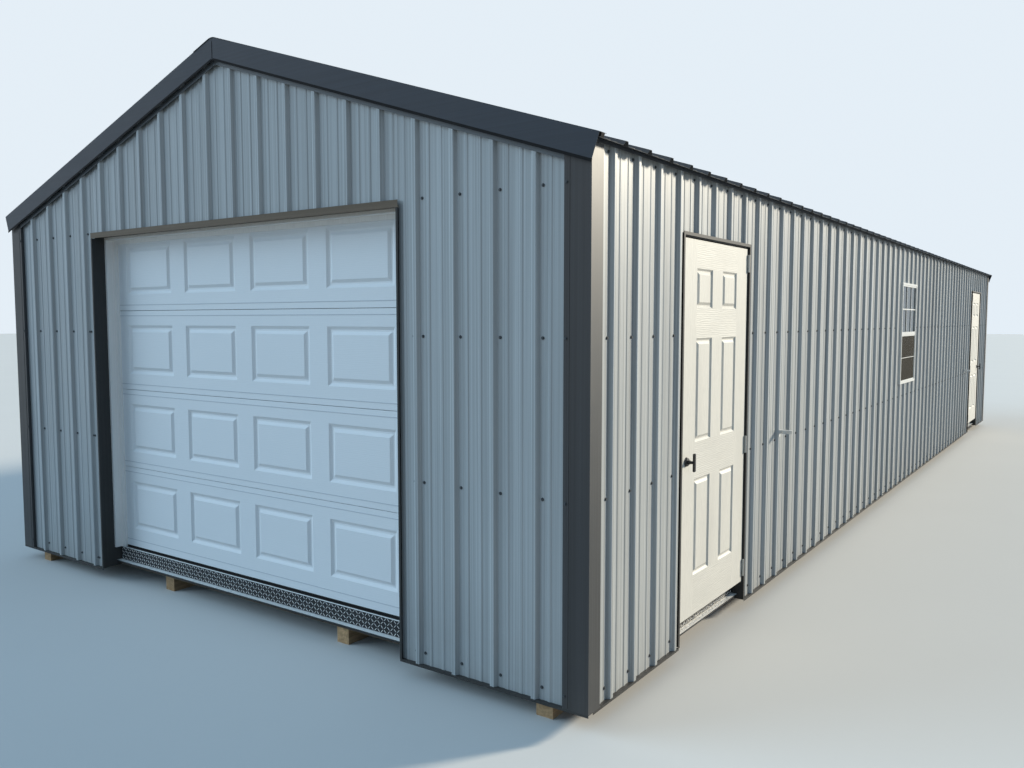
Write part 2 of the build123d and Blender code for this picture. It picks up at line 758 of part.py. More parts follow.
def tee_handle(y, surface_x, out):
    """Locking tee handle: rose, stem and upright bar; out is +1 outside and -1 inside."""
    turn = Rot(0, 90 * out, 0)
    align = (Align.CENTER, Align.CENTER, Align.MIN)
    spot = Pos(surface_x, y, floor_top + handle_height)
    rose = extrude(Circle(handle_rose_radius), amount=handle_rose_thickness, taper=handle_rose_taper)
    stem = Cylinder(handle_stem_radius, handle_reach - handle_bar_thickness / 2, align=align)
    bar = Pos(0, 0, handle_reach - handle_bar_thickness) * Box(handle_bar_length, handle_bar_width,
                                                            handle_bar_thickness, align=align)
    bar = chamfer(bar.edges().filter_by(Axis.Y), handle_bar_bevel)
    return spot * turn * (rose + stem + bar)


def build_walk_door(name, door_y, side):
    """Leaf, handles and swinging hinge halves; side points from the leaf to its hinges."""
    panels = leaf_panels()
    leaf = panelled_slab(leaf_width, leaf_height, leaf_thickness, panels, leaf_moulding, True)
    nodes[f"{name}_leaf"] = Pos(leaf_face, door_y, leaf_bottom) * Rot(0, 0, 90) * leaf
    handle_y = door_y - side * (leaf_width / 2 - handle_backset)
    handles = [tee_handle(handle_y, leaf_face, 1), tee_handle(handle_y, leaf_face - leaf_thickness, -1)]
    nodes[f"{name}_handles"] = Compound(children=handles)
    hinge_y = door_y + side * hinge_shift
    heights = (hinge_inset, leaf_height * hinge_middle_share, leaf_height - hinge_inset)
    pairs = [hinge_parts(hinge_y, side, leaf_bottom + height - hinge_height / 2) for height in heights]
    nodes[f"{name}_hinge_leaves"] = Compound(children=[swinging for _, swinging in pairs])
    return [fixed for fixed, _ in pairs]


def walk_door_frame(door_y):
    """Jambs with the head between them, and the stops that the leaf closes against."""
    inside = leaf_width / 2 + leaf_clearance
    outside = inside + door_jamb_thickness
    head = leaf_top + leaf_clearance
    back = leaf_face - door_jamb_depth
    jambs = [block(back, leaf_face, *ordered(door_y + s * inside, door_y + s * outside), floor_top,
                   door_opening_head) for s in (-1, 1)]
    jambs.append(block(back, leaf_face, door_y - inside + seam / 2, door_y + inside - seam / 2, head,
                       door_opening_head))
    stop_front = leaf_face - leaf_thickness - leaf_seat_gap
    stop_inside = inside - door_stop_width
    stops = [block(stop_front - door_stop_depth, stop_front,
                   *ordered(door_y + s * stop_inside, door_y + s * inside),
                   floor_top + plate_thickness, head)
             for s in (-1, 1)]
    stops.append(block(stop_front - door_stop_depth, stop_front, door_y - stop_inside + seam / 2,
                       door_y + stop_inside - seam / 2, head - door_stop_width, head))
    return jambs, stops


def walk_door_casing(door_y):
    """Folded trim round the opening: face on the ribs, return to the jamb, and returns to the plate."""
    outer = door_opening_half + walk_casing_lip
    reveal = leaf_width / 2 + leaf_clearance + walk_casing_reveal
    t = trim_thickness
    x1 = half_width + trim_stand_off
    top = door_opening_head + walk_casing_lip
    under = leaf_top + leaf_clearance + walk_casing_reveal
    folds = []
    for side in (-1, 1):
        turn = ordered(door_y + side * reveal, door_y + side * (reveal + t))
        face = ordered(door_y + side * reveal, door_y + side * outer)
        folds.append(block(x1 - t, x1, *face, siding_bottom, top))
        folds.append(block(leaf_face, x1, *turn, siding_bottom, top))
        folds.append(block(plate_plane, leaf_face, *turn, siding_bottom, floor_top))
    folds.append(block(x1 - t, x1, door_y - outer, door_y + outer, under, top))
    folds.append(block(leaf_face, x1, door_y - reveal, door_y + reveal, under, under + t))
    return fused(folds)


def walk_door_threshold(door_y):
    reach = leaf_width / 2 + leaf_clearance - seam
    outline = [(plate_plane + out, door_y - reach, z)
               for out, z in threshold_outline(floor_top + plate_thickness, walk_plate_face)]
    return extrude(make_face(Polyline(*outline, close=True)), amount=2 * reach, dir=(0, 1, 0))


def hold_back(hinge_y, side):
    """Drilled channel, open below, that stands out from the rib nearest the open leaf's edge."""
    y = min(side_ribs(), key=lambda rib: abs(rib - (hinge_y + side * bracket_distance)))
    x0 = half_width + sheet_face
    x1 = x0 + bracket_reach
    z = floor_top + bracket_height
    w = bracket_width / 2
    t = bracket_wall
    pieces = [block(x0, x0 + t, y - w, y + w, z - bracket_plate, z),
              block(x0, x1, y - w, y + w, z - t, z),
              block(x0, x1, y - w, y - w + t, z - bracket_depth, z),
              block(x0, x1, y + w - t, y + w, z - bracket_depth, z)]
    channel = fused(pieces)
    hole_z = z - (t + bracket_depth) / 2
    for share in (bracket_hole_share, 1 - bracket_hole_share):
        hole = Cylinder(bracket_hole_radius, 2 * bracket_width)
        channel = channel - Pos(x0 + share * bracket_reach, y, hole_z) * Rot(90, 0, 0) * hole
    return channel


def build_walk_doors():
    jambs, stops, casings, thresholds, pins, brackets = [], [], [], [], [], []
    for name, door_y, side in (("near_door", near_door_y, 1), ("far_door", far_door_y, -1)):
        pins += build_walk_door(name, door_y, side)
        frame, stop = walk_door_frame(door_y)
        jambs += frame
        stops += stop
        casings.append(walk_door_casing(door_y))
        thresholds.append(walk_door_threshold(door_y))
        brackets.append(hold_back(door_y + side * hinge_shift, side))
    nodes["walk_door_jambs"] = Compound(children=jambs)
    nodes["walk_door_stops"] = Compound(children=stops)
    nodes["walk_door_casings"] = Compound(children=casings)
    nodes["walk_door_thresholds"] = Compound(children=thresholds)
    nodes["walk_door_hinge_pins"] = Compound(children=pins)
    nodes["hold_back_brackets"] = Compound(children=brackets)


# Window

def window_ring(x0, x1, half, low, high, bar, bottom_bar, top_bar):
    """Rectangular frame in the side wall, centred on the building's length."""
    outer = block(x0, x1, -half, half, low, high)
    return outer - block(x0 - 1, x1 + 1, -half + bar, half - bar, low + bottom_bar, high - top_bar)


def build_window():
    half = window_width / 2
    front = half_width + window_frame_proud
    bar = window_frame_width
    nodes["window_frame"] = window_ring(front - window_frame_depth, front, half, window_bottom, window_top,
                                        bar, bar, bar)
    middle = (window_bottom + window_top) / 2
    rail_low = middle - meeting_rail / 2
    rail_high = middle + meeting_rail / 2
    outer_x = front - sash_inset
    inner_x_face = outer_x - sash_depth
    upper = window_ring(outer_x - sash_depth, outer_x, half - bar, rail_low, window_top - bar,
                        sash_width, meeting_rail, sash_width)
    lower = window_ring(inner_x_face - sash_depth, inner_x_face - seam / 2, half - bar, window_bottom + bar,
                        rail_high, sash_width, sash_width, meeting_rail)
    nodes["window_sashes"] = Compound(children=[upper, lower])
    panes = []
    for centre, low, high in ((outer_x - sash_depth / 2, rail_high, window_top - bar - sash_width),
                              (inner_x_face - sash_depth / 2, window_bottom + bar + sash_width, rail_low)):
        panes.append(block(centre - pane_thickness / 2, centre + pane_thickness / 2,
                           -half + bar + sash_width, half - bar - sash_width, low, high))
    nodes["window_panes"] = Compound(children=panes)


build_floor()
build_walls()
build_roof_frame()
build_roof_skin()
build_cladding()
build_trims()
build_overhead_door()
build_walk_doors()
build_window()

os.makedirs("parts", exist_ok=True)
for name, shape in nodes.items():
    export_step(Pos(-centre_x, 0, 0) * shape, f"parts/{name}.step")

print("hinge axes", hinge_x - centre_x, near_door_y + hinge_shift, far_door_y - hinge_shift, leaf_bottom)
print("floor", floor_top, "plates", plate_top, "inside", inner_x, inner_y, "shift", centre_x)
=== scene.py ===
import math
import bpy
from mathutils import Matrix, Vector


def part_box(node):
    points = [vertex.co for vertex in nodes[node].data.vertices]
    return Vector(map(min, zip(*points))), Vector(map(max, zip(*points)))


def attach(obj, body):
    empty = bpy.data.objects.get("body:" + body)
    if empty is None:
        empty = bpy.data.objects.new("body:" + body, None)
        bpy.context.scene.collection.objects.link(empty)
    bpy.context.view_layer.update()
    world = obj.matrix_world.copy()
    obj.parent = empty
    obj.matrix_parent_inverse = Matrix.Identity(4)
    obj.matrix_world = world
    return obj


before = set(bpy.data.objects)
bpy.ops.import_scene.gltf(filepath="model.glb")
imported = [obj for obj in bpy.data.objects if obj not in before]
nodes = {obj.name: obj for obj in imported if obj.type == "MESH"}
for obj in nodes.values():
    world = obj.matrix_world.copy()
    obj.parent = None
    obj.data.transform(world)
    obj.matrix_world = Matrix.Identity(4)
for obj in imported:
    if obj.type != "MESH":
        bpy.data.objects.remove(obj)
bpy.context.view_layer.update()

# metres: X across, Y along from the overhead door to the rear, Z up
deckLow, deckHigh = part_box("floor_deck")
sheetLow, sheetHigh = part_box("left_cladding")
roofLow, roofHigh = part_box("roof_sheets")
leafBoxes = {"near_door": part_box("near_door_leaf"), "far_door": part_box("far_door_leaf")}
place = {
    "left": deckLow.x, "right": deckHigh.x, "middle": (deckLow.x + deckHigh.x) / 2,
    "front": deckLow.y, "rear": deckHigh.y,
    "sheetBottom": sheetLow.z, "sheetTop": sheetHigh.z}
halfWidth = (place["right"] - place["left"]) / 2
roof = {"slope": 1 / 3, "angle": math.atan(1 / 3)}
rib = {"pitch": 0.2286, "crest": 0.019, "height": 0.019, "firstSide": 0.1905, "eachSide": 10,
       "sheet": 0.0015}
pan = {  # the outer faces of the four walls between their ribs
    "left": place["left"] - rib["sheet"], "right": place["right"] + rib["sheet"],
    "front": place["front"] - rib["sheet"], "rear": place["rear"] + rib["sheet"]}


# selecting and shaping
def deselectAll():
    if bpy.context.object and bpy.context.object.mode != "OBJECT":
        bpy.ops.object.mode_set(mode="OBJECT")
    bpy.ops.object.select_all(action="DESELECT")


def selectOnly(pieces):
    deselectAll()
    for piece in pieces:
        piece.select_set(True)
    bpy.context.view_layer.objects.active = pieces[0]


def applyPlace():
    bpy.ops.object.transform_apply(location=True, rotation=True, scale=True)


# a block between any two opposite corners
def addBlock(corner, opposite):
    deselectAll()
    centre = [(corner[i] + opposite[i]) / 2 for i in range(3)]
    bpy.ops.mesh.primitive_cube_add(size=1, location=centre)
    block = bpy.context.object
    block.scale = [abs(opposite[i] - corner[i]) for i in range(3)]
    applyPlace()
    return block


# an upright rod that stands on the origin
def addRod(radius, tall, sides):
    deselectAll()
    bpy.ops.mesh.primitive_cylinder_add(vertices=sides, radius=radius, depth=tall,
                                        location=(0.0, 0.0, tall / 2))
    rod = bpy.context.object
    applyPlace()
    return rod


def pickFaces(piece, wanted):
    selectOnly([piece])
    bpy.ops.object.mode_set(mode="EDIT")
    bpy.ops.mesh.select_mode(type="FACE")
    bpy.ops.mesh.select_all(action="DESELECT")
    bpy.ops.object.mode_set(mode="OBJECT")
    for face in piece.data.polygons:
        face.select = wanted(face.center, face.normal)
    bpy.ops.object.mode_set(mode="EDIT")


def looksUp(centre, normal):
    return normal.z > 0.9


def looksDown(centre, normal):
    return normal.z < -0.9


def doneEditing():
    bpy.ops.object.mode_set(mode="OBJECT")


# takes away faces that lie on what carries the piece
def openFaces(piece, wanted):
    pickFaces(piece, wanted)
    bpy.ops.mesh.delete(type="FACE")
    doneEditing()


# a block with its edges rounded off, for strips, bars and lips
def addSoftBlock(corner, opposite, edgeRound):
    block = addBlock(corner, opposite)
    pickFaces(block, lambda centre, normal: True)
    bpy.ops.mesh.bevel(offset=edgeRound, segments=2, affect="EDGES")
    doneEditing()
    return block


# each spot is a matrix; the first piece is only the pattern and is removed
def repeatPiece(pattern, spots):
    copies = []
    for spot in spots:
        copy = pattern.copy()
        copy.data = pattern.data.copy()
        copy.data.transform(spot)
        bpy.context.collection.objects.link(copy)
        copies.append(copy)
    bpy.data.objects.remove(pattern)
    return copies


# joins the parts of a piece, names it, gives it its finish and lets it ride on a body
def finishPiece(name, parts, finish, body="garage"):
    selectOnly(parts)
    if len(parts) > 1:
        bpy.ops.object.join()
    piece = bpy.context.object
    piece.name = name
    piece.data.name = name
    piece.data.materials.clear()
    piece.data.materials.append(finishes[finish])
    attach(piece, body)


def turnedAt(x, y, z, axis, degrees):
    return Matrix.Translation((x, y, z)) @ Matrix.Rotation(math.radians(degrees), 4, axis)


# shader nodes: an input takes a value or what comes out of another node
def feed(tree, node, inputs):
    for title, value in inputs.items():
        if isinstance(value, bpy.types.NodeSocket):
            tree.links.new(value, node.inputs[title])
        else:
            node.inputs[title].default_value = value
    return node.outputs


def addNode(tree, kind, inputs):
    return feed(tree, tree.nodes.new(f"ShaderNode{kind}"), inputs)


# an input with no value is a vector, one with four numbers a colour and any other a number
def newGroup(name, inputs, outputs):
    group = bpy.data.node_groups.new(name, "ShaderNodeTree")
    for title, value in inputs.items():
        kind = "Vector" if value is None else "Color" if isinstance(value, tuple) else "Float"
        socket = group.interface.new_socket(name=title, in_out="INPUT",
                                            socket_type=f"NodeSocket{kind}")
        if value is not None:
            socket.default_value = value
    for title, kind in outputs.items():
        group.interface.new_socket(name=title, in_out="OUTPUT", socket_type=f"NodeSocket{kind}")
    return group, group.nodes.new("NodeGroupInput").outputs, group.nodes.new("NodeGroupOutput")


def addGroup(tree, group, inputs):
    node = tree.nodes.new("ShaderNodeGroup")
    node.node_tree = group
    return feed(tree, node, inputs)


def addNoise(tree, vector, scale, detail=3.0, roughness=0.5, distortion=0.0):
    return addNode(tree, "TexNoise", {
        "Vector": vector, "Scale": scale, "Detail": detail, "Roughness": roughness,
        "Distortion": distortion})["Fac"]


def addStretch(tree, vector, scale, turn=(0.0, 0.0, 0.0)):
    return addNode(tree, "Mapping", {
        "Vector": vector, "Scale": scale,
        "Rotation": [math.radians(angle) for angle in turn]})["Vector"]


def addSplit(tree, vector):
    return addNode(tree, "SeparateXYZ", {"Vector": vector})


def addRange(tree, value, given, wanted):
    return addNode(tree, "MapRange", {
        "Value": value, "From Min": given[0], "From Max": given[1],
        "To Min": wanted[0], "To Max": wanted[1]})["Result"]


def addMath(tree, operation, *values):
    node = tree.nodes.new("ShaderNodeMath")
    node.operation = operation
    return feed(tree, node, dict(enumerate(values)))["Value"]


def times(tree, first, second):
    return addMath(tree, "MULTIPLY", first, second)


def plus(tree, first, second):
    return addMath(tree, "ADD", first, second)


def minus(tree, first, second):
    return addMath(tree, "SUBTRACT", first, second)


# 1 inside the band between two heights or places, 0 outside
def addBand(tree, value, low, high):
    return addMath(tree, "COMPARE", value, (low + high) / 2, (high - low) / 2)


# for colours this node has its inputs at 6 and 7 and its output at 2
def addMix(tree, factor, first, second):
    node = tree.nodes.new("ShaderNodeMix")
    node.data_type = "RGBA"
    return feed(tree, node, {0: factor, 6: first, 7: second})[2]


def addShade(tree, colour, value):
    return addNode(tree, "HueSaturation", {"Color": colour, "Value": value})["Color"]


def rgba(colour):
    return (*colour, 1.0)


# coated sheet: slow tone drift, fine lines, faint streaks down the height, dust at the foot and a
# painted highlight along the rib crest edges
def makeCoatedGroup():
    group, given, result = newGroup("coatedSheet", {
        "Vector": None, "Line Vector": None, "Colour": (0.5, 0.5, 0.5, 1.0), "Line Depth": 0.06,
        "Dust Colour": (0.3, 0.27, 0.23, 1.0), "Dust": 0.3, "Streaks": 0.06, "Gloss Low": 0.3,
        "Gloss High": 0.45, "Edge": 0.0}, {"Colour": "Color", "Roughness": "Float", "Height": "Float"})
    vector = given["Vector"]
    drift = addNoise(group, vector, scale=0.9, detail=2.0)
    streak = addNoise(group, addStretch(group, vector, (14.0, 14.0, 0.7)),
                      scale=1.0, detail=4.0, roughness=0.6)
    grime = addNoise(group, vector, scale=6.0, detail=5.0, roughness=0.65)
    foot = addRange(group, addSplit(group, vector)["Z"], (0.08, 0.75), (1.0, 0.0))
    splash = times(group, addMath(group, "POWER", foot, 2.2),
                   addRange(group, grime, (0.35, 0.7), (0.25, 1.0)))
    dust = times(group, splash, given["Dust"])
    line = addNoise(group, given["Line Vector"], scale=1.0, detail=3.0, roughness=0.65)
    lined = times(group, addRange(group, line, (0.3, 0.7), (-1.0, 1.0)), given["Line Depth"])
    lined = plus(group, lined, 1.0)
    # where Edge is 1 the coat is lightened by 40 percent: a painted highlight on the rib crest edges
    paintedHighlight = plus(group, times(group, given["Edge"], 0.4), 1.0)
    tone = times(group, addRange(group, drift, (0.3, 0.7), (0.955, 1.03)), lined)
    toned = addShade(group, given["Colour"], times(group, tone, paintedHighlight))
    streaks = times(group, addRange(group, streak, (0.5, 0.75), (0.0, 1.0)), given["Streaks"])
    streaked = addMix(group, streaks, toned, given["Dust Colour"])
    spread = minus(group, given["Gloss High"], given["Gloss Low"])
    rough = plus(group, given["Gloss Low"], times(group, grime, spread))
    wave = addNoise(group, addStretch(group, vector, (5.0, 5.0, 1.4)), scale=1.0, detail=1.0)
    feed(group, result, {
        "Colour": addMix(group, dust, streaked, given["Dust Colour"]),
        "Roughness": plus(group, rough, times(group, dust, 0.35)),
        "Height": plus(group, wave, times(group, lined, 0.12))})
    return group


# 1 along the two edges of each rib's crest, where a painted highlight lightens the coat
def makeRibHighlightGroup():
    group, given, result = newGroup("ribEdgeHighlights", {"Along": 0.0, "First Rib": 0.0}, {"Mask": "Float"})
    fromFirst = minus(group, given["Along"], given["First Rib"])
    fromRib = addMath(group, "PINGPONG", fromFirst, rib["pitch"] / 2)
    fromEdge = addMath(group, "ABSOLUTE", minus(group, fromRib, rib["crest"] / 2))
    feed(group, result, {"Mask": addRange(group, fromEdge, (0.001, 0.004), (1.0, 0.0))})
    return group


# sawn timber: the grain runs along the axis that the Vector was squeezed on
def makeTimberGroup():
    group, given, result = newGroup("timberGrain", {
        "Vector": None, "Light": (0.6, 0.45, 0.28, 1.0), "Dark": (0.35, 0.23, 0.12, 1.0),
        "Dirt": 0.2}, {"Colour": "Color", "Roughness": "Float", "Height": "Float"})
    vector = given["Vector"]
    board = addNoise(group, vector, scale=1.6, detail=1.0)
    wave = addNoise(group, vector, scale=22.0, detail=6.0, roughness=0.62, distortion=1.4)
    fibre = addNoise(group, vector, scale=90.0, detail=4.0, roughness=0.7)
    grain = plus(group, times(group, wave, 0.65), times(group, fibre, 0.35))
    lines = addRange(group, grain, (0.38, 0.62), (0.0, 1.0))
    wood = addShade(group, addMix(group, lines, given["Dark"], given["Light"]),
                    addRange(group, board, (0.3, 0.7), (0.82, 1.12)))
    grime = addNoise(group, vector, scale=5.0, detail=5.0, roughness=0.7)
    dirt = times(group, addRange(group, grime, (0.45, 0.75), (0.0, 1.0)), given["Dirt"])
    feed(group, result, {
        "Colour": addMix(group, dirt, wood, (0.1, 0.085, 0.07, 1.0)),
        "Roughness": addRange(group, grain, (0.3, 0.7), (0.82, 0.62)),
        "Height": grain})
    return group


# pressed wood grain of a door skin
def makeEmbossGroup():
    group, given, result = newGroup("pressedGrain", {
        "Vector": None, "Colour": (0.8, 0.8, 0.78, 1.0), "Shade": 0.06},
        {"Colour": "Color", "Height": "Float"})
    vector = given["Vector"]
    bend = addNoise(group, addStretch(group, vector, (5.0, 5.0, 1.1)), scale=1.0, detail=2.0)
    wave = group.nodes.new("ShaderNodeTexWave")
    wave.wave_type = "BANDS"
    wave.bands_direction = "Y"
    bands = feed(group, wave, {
        "Vector": addStretch(group, vector, (1.0, 1.0, 0.16)), "Scale": 32.0,
        "Distortion": 6.0, "Detail": 3.0, "Detail Scale": 1.6})["Fac"]
    pores = addNoise(group, addStretch(group, vector, (1.0, 1.0, 0.07)),
                     scale=240.0, detail=3.0, roughness=0.6)
    ridges = times(group, bands, addRange(group, bend, (0.35, 0.65), (0.35, 1.0)))
    grain = plus(group, times(group, ridges, 0.6), times(group, pores, 0.4))
    shade = times(group, addRange(group, grain, (0.2, 0.6), (1.0, 0.0)), given["Shade"])
    feed(group, result, {
        "Colour": addMix(group, shade, given["Colour"], (0.25, 0.25, 0.24, 1.0)),
        "Height": grain})
    return group


coatedGroup = makeCoatedGroup()
timberGroup = makeTimberGroup()
ribHighlightGroup = makeRibHighlightGroup()
embossGroup = makeEmbossGroup()


def newMaterial(name):
    material = bpy.data.materials.new(name)
    material.use_nodes = True
    tree = material.node_tree
    position = addNode(tree, "TexCoord", {})["Object"]
    return material, tree, tree.nodes["Principled BSDF"], position


def addBump(tree, height, distance):
    return addNode(tree, "Bump", {"Height": height, "Distance": distance})["Normal"]


# coated and painted steel, plastic and rubber; a finish says only what isn't the plain coat's
plainCoat = {"dust": 0.1, "streaks": 0.05, "lineDepth": 0.05, "lines": (150.0, 150.0, 0.4),
             "metallic": 0.0, "specular": 0.5}
wallCoat = {"colour": (0.36, 0.375, 0.38), "dustColour": (0.2, 0.185, 0.16), "dust": 0.3,
            "gloss": (0.34, 0.46), "wave": 0.0016, "lineDepth": 0.22, "lines": (85.0, 85.0, 0.3),
            "specular": 0.55}
coatedFinishes = {
    "wallSteel": {**wallCoat, "ribs": ("X", place["middle"] + rib["pitch"] / 2)},
    # the side walls' steel has its fine lines painted deeper than the gable walls': partly streaks in
    # the coat, partly painted shade for the fine dark lines that grazing sun shows in the side pans
    "sideSteel": {**wallCoat, "lineDepth": 0.36, "ribs": ("Y", place["front"] + rib["firstSide"])},
    "screwPaint": {
        "colour": (0.07, 0.075, 0.08), "dustColour": (0.1, 0.09, 0.08), "streaks": 0.1,
        "gloss": (0.4, 0.55), "wave": 0.0002, "specular": 0.3},
    "trimSteel": {
        "colour": (0.036, 0.036, 0.036), "dustColour": (0.1, 0.092, 0.08), "dust": 0.25,
        "streaks": 0.04, "gloss": (0.42, 0.54), "wave": 0.001, "lineDepth": 0.16, "specular": 0.25},
    "cornerSteel": {
        "colour": (0.022, 0.024, 0.027), "dustColour": (0.1, 0.092, 0.08), "dust": 0.2,
        "streaks": 0.04, "gloss": (0.4, 0.52), "wave": 0.0012, "lineDepth": 0.4,
        "lines": (75.0, 75.0, 0.3), "specular": 0.62},
    # the head trim over the overhead door is the charcoal trim steel coloured warm brown: a painted
    # reflection of the sunlit ground on its face
    "browReflectionSteel": {
        "colour": (0.15, 0.115, 0.085), "dustColour": (0.12, 0.1, 0.08), "dust": 0.0,
        "streaks": 0.1, "gloss": (0.42, 0.54), "wave": 0.001, "lineDepth": 0.12,
        "lines": (0.4, 150.0, 150.0), "specular": 0.2},
    "rakeSteel": {
        "colour": (0.03, 0.038, 0.05), "dustColour": (0.08, 0.078, 0.07), "dust": 0.0,
        "gloss": (0.4, 0.52), "wave": 0.0012, "lineDepth": 0.12, "lines": (0.4, 150.0, 90.0),
        "specular": 0.4},
    "stripSteel": {
        "colour": (0.095, 0.105, 0.115), "dustColour": (0.1, 0.095, 0.085), "dust": 0.0,
        "streaks": 0.06, "gloss": (0.38, 0.5), "wave": 0.001, "lineDepth": 0.1,
        "lines": (0.4, 150.0, 90.0)},
    "roofSteel": {
        "colour": (0.045, 0.048, 0.053), "dustColour": (0.12, 0.115, 0.105), "dust": 0.0,
        "streaks": 0.1, "gloss": (0.4, 0.55), "wave": 0.0014, "lineDepth": 0.08,
        "lines": (0.4, 150.0, 0.4)},
    "boardPaint": {
        "colour": (0.87, 0.84, 0.81), "dustColour": (0.42, 0.39, 0.35), "dust": 0.25,
        "gloss": (0.42, 0.58), "wave": 0.0006},
    "vinyl": {
        "colour": (0.72, 0.72, 0.7), "dustColour": (0.4, 0.38, 0.33), "gloss": (0.28, 0.4),
        "wave": 0.0003, "lineDepth": 0.02},
    "bracketPaint": {
        "colour": (0.66, 0.67, 0.67), "dustColour": (0.35, 0.33, 0.3), "gloss": (0.3, 0.45),
        "wave": 0.0003},
    "hingeZinc": {
        "colour": (0.42, 0.42, 0.4), "dustColour": (0.2, 0.19, 0.17), "streaks": 0.08,
        "gloss": (0.3, 0.5), "wave": 0.0002, "metallic": 0.3},
    # painted shade: the tread plates are coloured near black, darker than their metal, so only their
    # bars, nose and ledge read bright
    "shadedTreadMetal": {
        "colour": (0.022, 0.022, 0.024), "dustColour": (0.08, 0.072, 0.06), "dust": 0.15,
        "gloss": (0.34, 0.55), "wave": 0.0004, "specular": 0.3},
    # painted highlight: the tread bars and the thin covers on the plates' nose and ledge are near
    # white for the glints and sky reflection on them
    "treadHighlightMetal": {
        "colour": (0.9, 0.9, 0.88), "dustColour": (0.4, 0.37, 0.32), "dust": 0.08,
        "gloss": (0.22, 0.34), "wave": 0.0002, "metallic": 0.1},
    "blackHardware": {
        "colour": (0.012, 0.012, 0.013), "dustColour": (0.08, 0.075, 0.07), "dust": 0.05,
        "gloss": (0.24, 0.4), "wave": 0.0002},
    "rubber": {
        "colour": (0.014, 0.014, 0.015), "dustColour": (0.07, 0.065, 0.055), "dust": 0.35,
        "streaks": 0.08, "gloss": (0.6, 0.8), "wave": 0.0006, "lines": (0.4, 150.0, 260.0),
        "specular": 0.12},
}


def makeCoated(name, look):
    look = {**plainCoat, **look}
    material, tree, shader, position = newMaterial(name)
    # edge is the mask of the painted highlight along the rib crest edges, 0 on sheets without ribs
    edge = 0.0
    if "ribs" in look:
        axis, first = look["ribs"]
        along = addSplit(tree, position)[axis]
        edge = addGroup(tree, ribHighlightGroup, {"Along": along, "First Rib": first})["Mask"]
    coat = addGroup(tree, coatedGroup, {
        "Vector": position, "Line Vector": addStretch(tree, position, look["lines"]),
        "Colour": rgba(look["colour"]), "Dust Colour": rgba(look["dustColour"]),
        "Dust": look["dust"], "Streaks": look["streaks"], "Line Depth": look["lineDepth"],
        "Gloss Low": look["gloss"][0], "Gloss High": look["gloss"][1], "Edge": edge})
    feed(tree, shader, {
        "Base Color": coat["Colour"], "Roughness": coat["Roughness"],
        "Metallic": look["metallic"], "Specular IOR Level": look["specular"],
        "Normal": addBump(tree, coat["Height"], look["wave"])})
    return material


# the grain runs along the axis that is squeezed; the wall and roof frames are of one wood
frameWood = {"light": (0.5, 0.37, 0.22), "dark": (0.35, 0.23, 0.12), "dirt": 0.08}
timberFinishes = {
    "skidTimber": {
        "light": (0.58, 0.37, 0.2), "dark": (0.33, 0.2, 0.1), "dirt": 0.3,
        "squeeze": (1.0, 0.06, 1.0)},
    # painted shade: the floor frame and the overhead door sill are coloured near black for the deep
    # shade under the deck edge
    "shadedJoistTimber": {
        "light": (0.12, 0.095, 0.065), "dark": (0.07, 0.05, 0.032), "dirt": 0.3,
        "squeeze": (0.06, 1.0, 1.0)},
    "studTimber": {**frameWood, "squeeze": (1.0, 1.0, 0.06)},
    "purlinTimber": {**frameWood, "squeeze": (1.0, 0.06, 1.0)},
    "rafterTimber": {**frameWood, "squeeze": (0.06, 1.0, 1.0)},
    "deckTimber": {
        "light": (0.42, 0.31, 0.19), "dark": (0.28, 0.19, 0.11), "dirt": 0.3,
        "squeeze": (1.0, 0.08, 1.0)},
}
timberBump = 0.0006


def makeTimber(name, look):
    material, tree, shader, position = newMaterial(name)
    wood = addGroup(tree, timberGroup, {
        "Vector": addStretch(tree, position, look["squeeze"]), "Light": rgba(look["light"]),
        "Dark": rgba(look["dark"]), "Dirt": look["dirt"]})
    feed(tree, shader, {"Base Color": wood["Colour"], "Roughness": wood["Roughness"],
                        "Normal": addBump(tree, wood["Height"], timberBump)})
    return material


# the heights of a walk door leaf's rails above its foot, and the width of its outer stiles
leafLayout = {"rails": ((0.0, 0.217), (0.739, 0.936), (1.486, 1.643), (1.851, 1.998)), "stile": 0.17}
noTurn, quarterTurn = (0.0, 0.0, 0.0), (90.0, 0.0, 0.0)
sectionLook = {"colour": (0.8, 0.81, 0.82), "shade": 0.035, "gloss": (0.4, 0.52), "depth": 0.0003,
               "grains": (((0.16, 1.0, 1.0), quarterTurn),)}
pressedFinishes = {  # a second grain lies across, on the leaves' rails
    "leafSkin": {"colour": (0.67, 0.655, 0.61), "shade": 0.3, "gloss": (0.48, 0.6), "depth": 0.0008,
                 "grains": (((1.0, 1.0, 1.0), noTurn), ((1.0, 1.0, 1.0), quarterTurn))},
    "sectionSkin": sectionLook,
    # painted shade: the pressed lines across the sections are coloured darker than the section skin
    # they are pressed into
    "pressedLineShade": {**sectionLook, "colour": (0.55, 0.57, 0.6)},
}


def addUp(tree, values):
    total, *others = values
    for value in others:
        total = plus(tree, total, value)
    return total


# 1 where a leaf's rails run across between its outer stiles
def addRailMask(tree, position):
    split = addSplit(tree, position)
    foot, stile = leafBoxes["near_door"][0].z, leafLayout["stile"]
    rails = [addBand(tree, split["Z"], foot + low, foot + high) for low, high in leafLayout["rails"]]
    across = [addBand(tree, split["Y"], low.y + stile, high.y - stile)
              for low, high in leafBoxes.values()]
    return times(tree, addUp(tree, rails), addUp(tree, across))


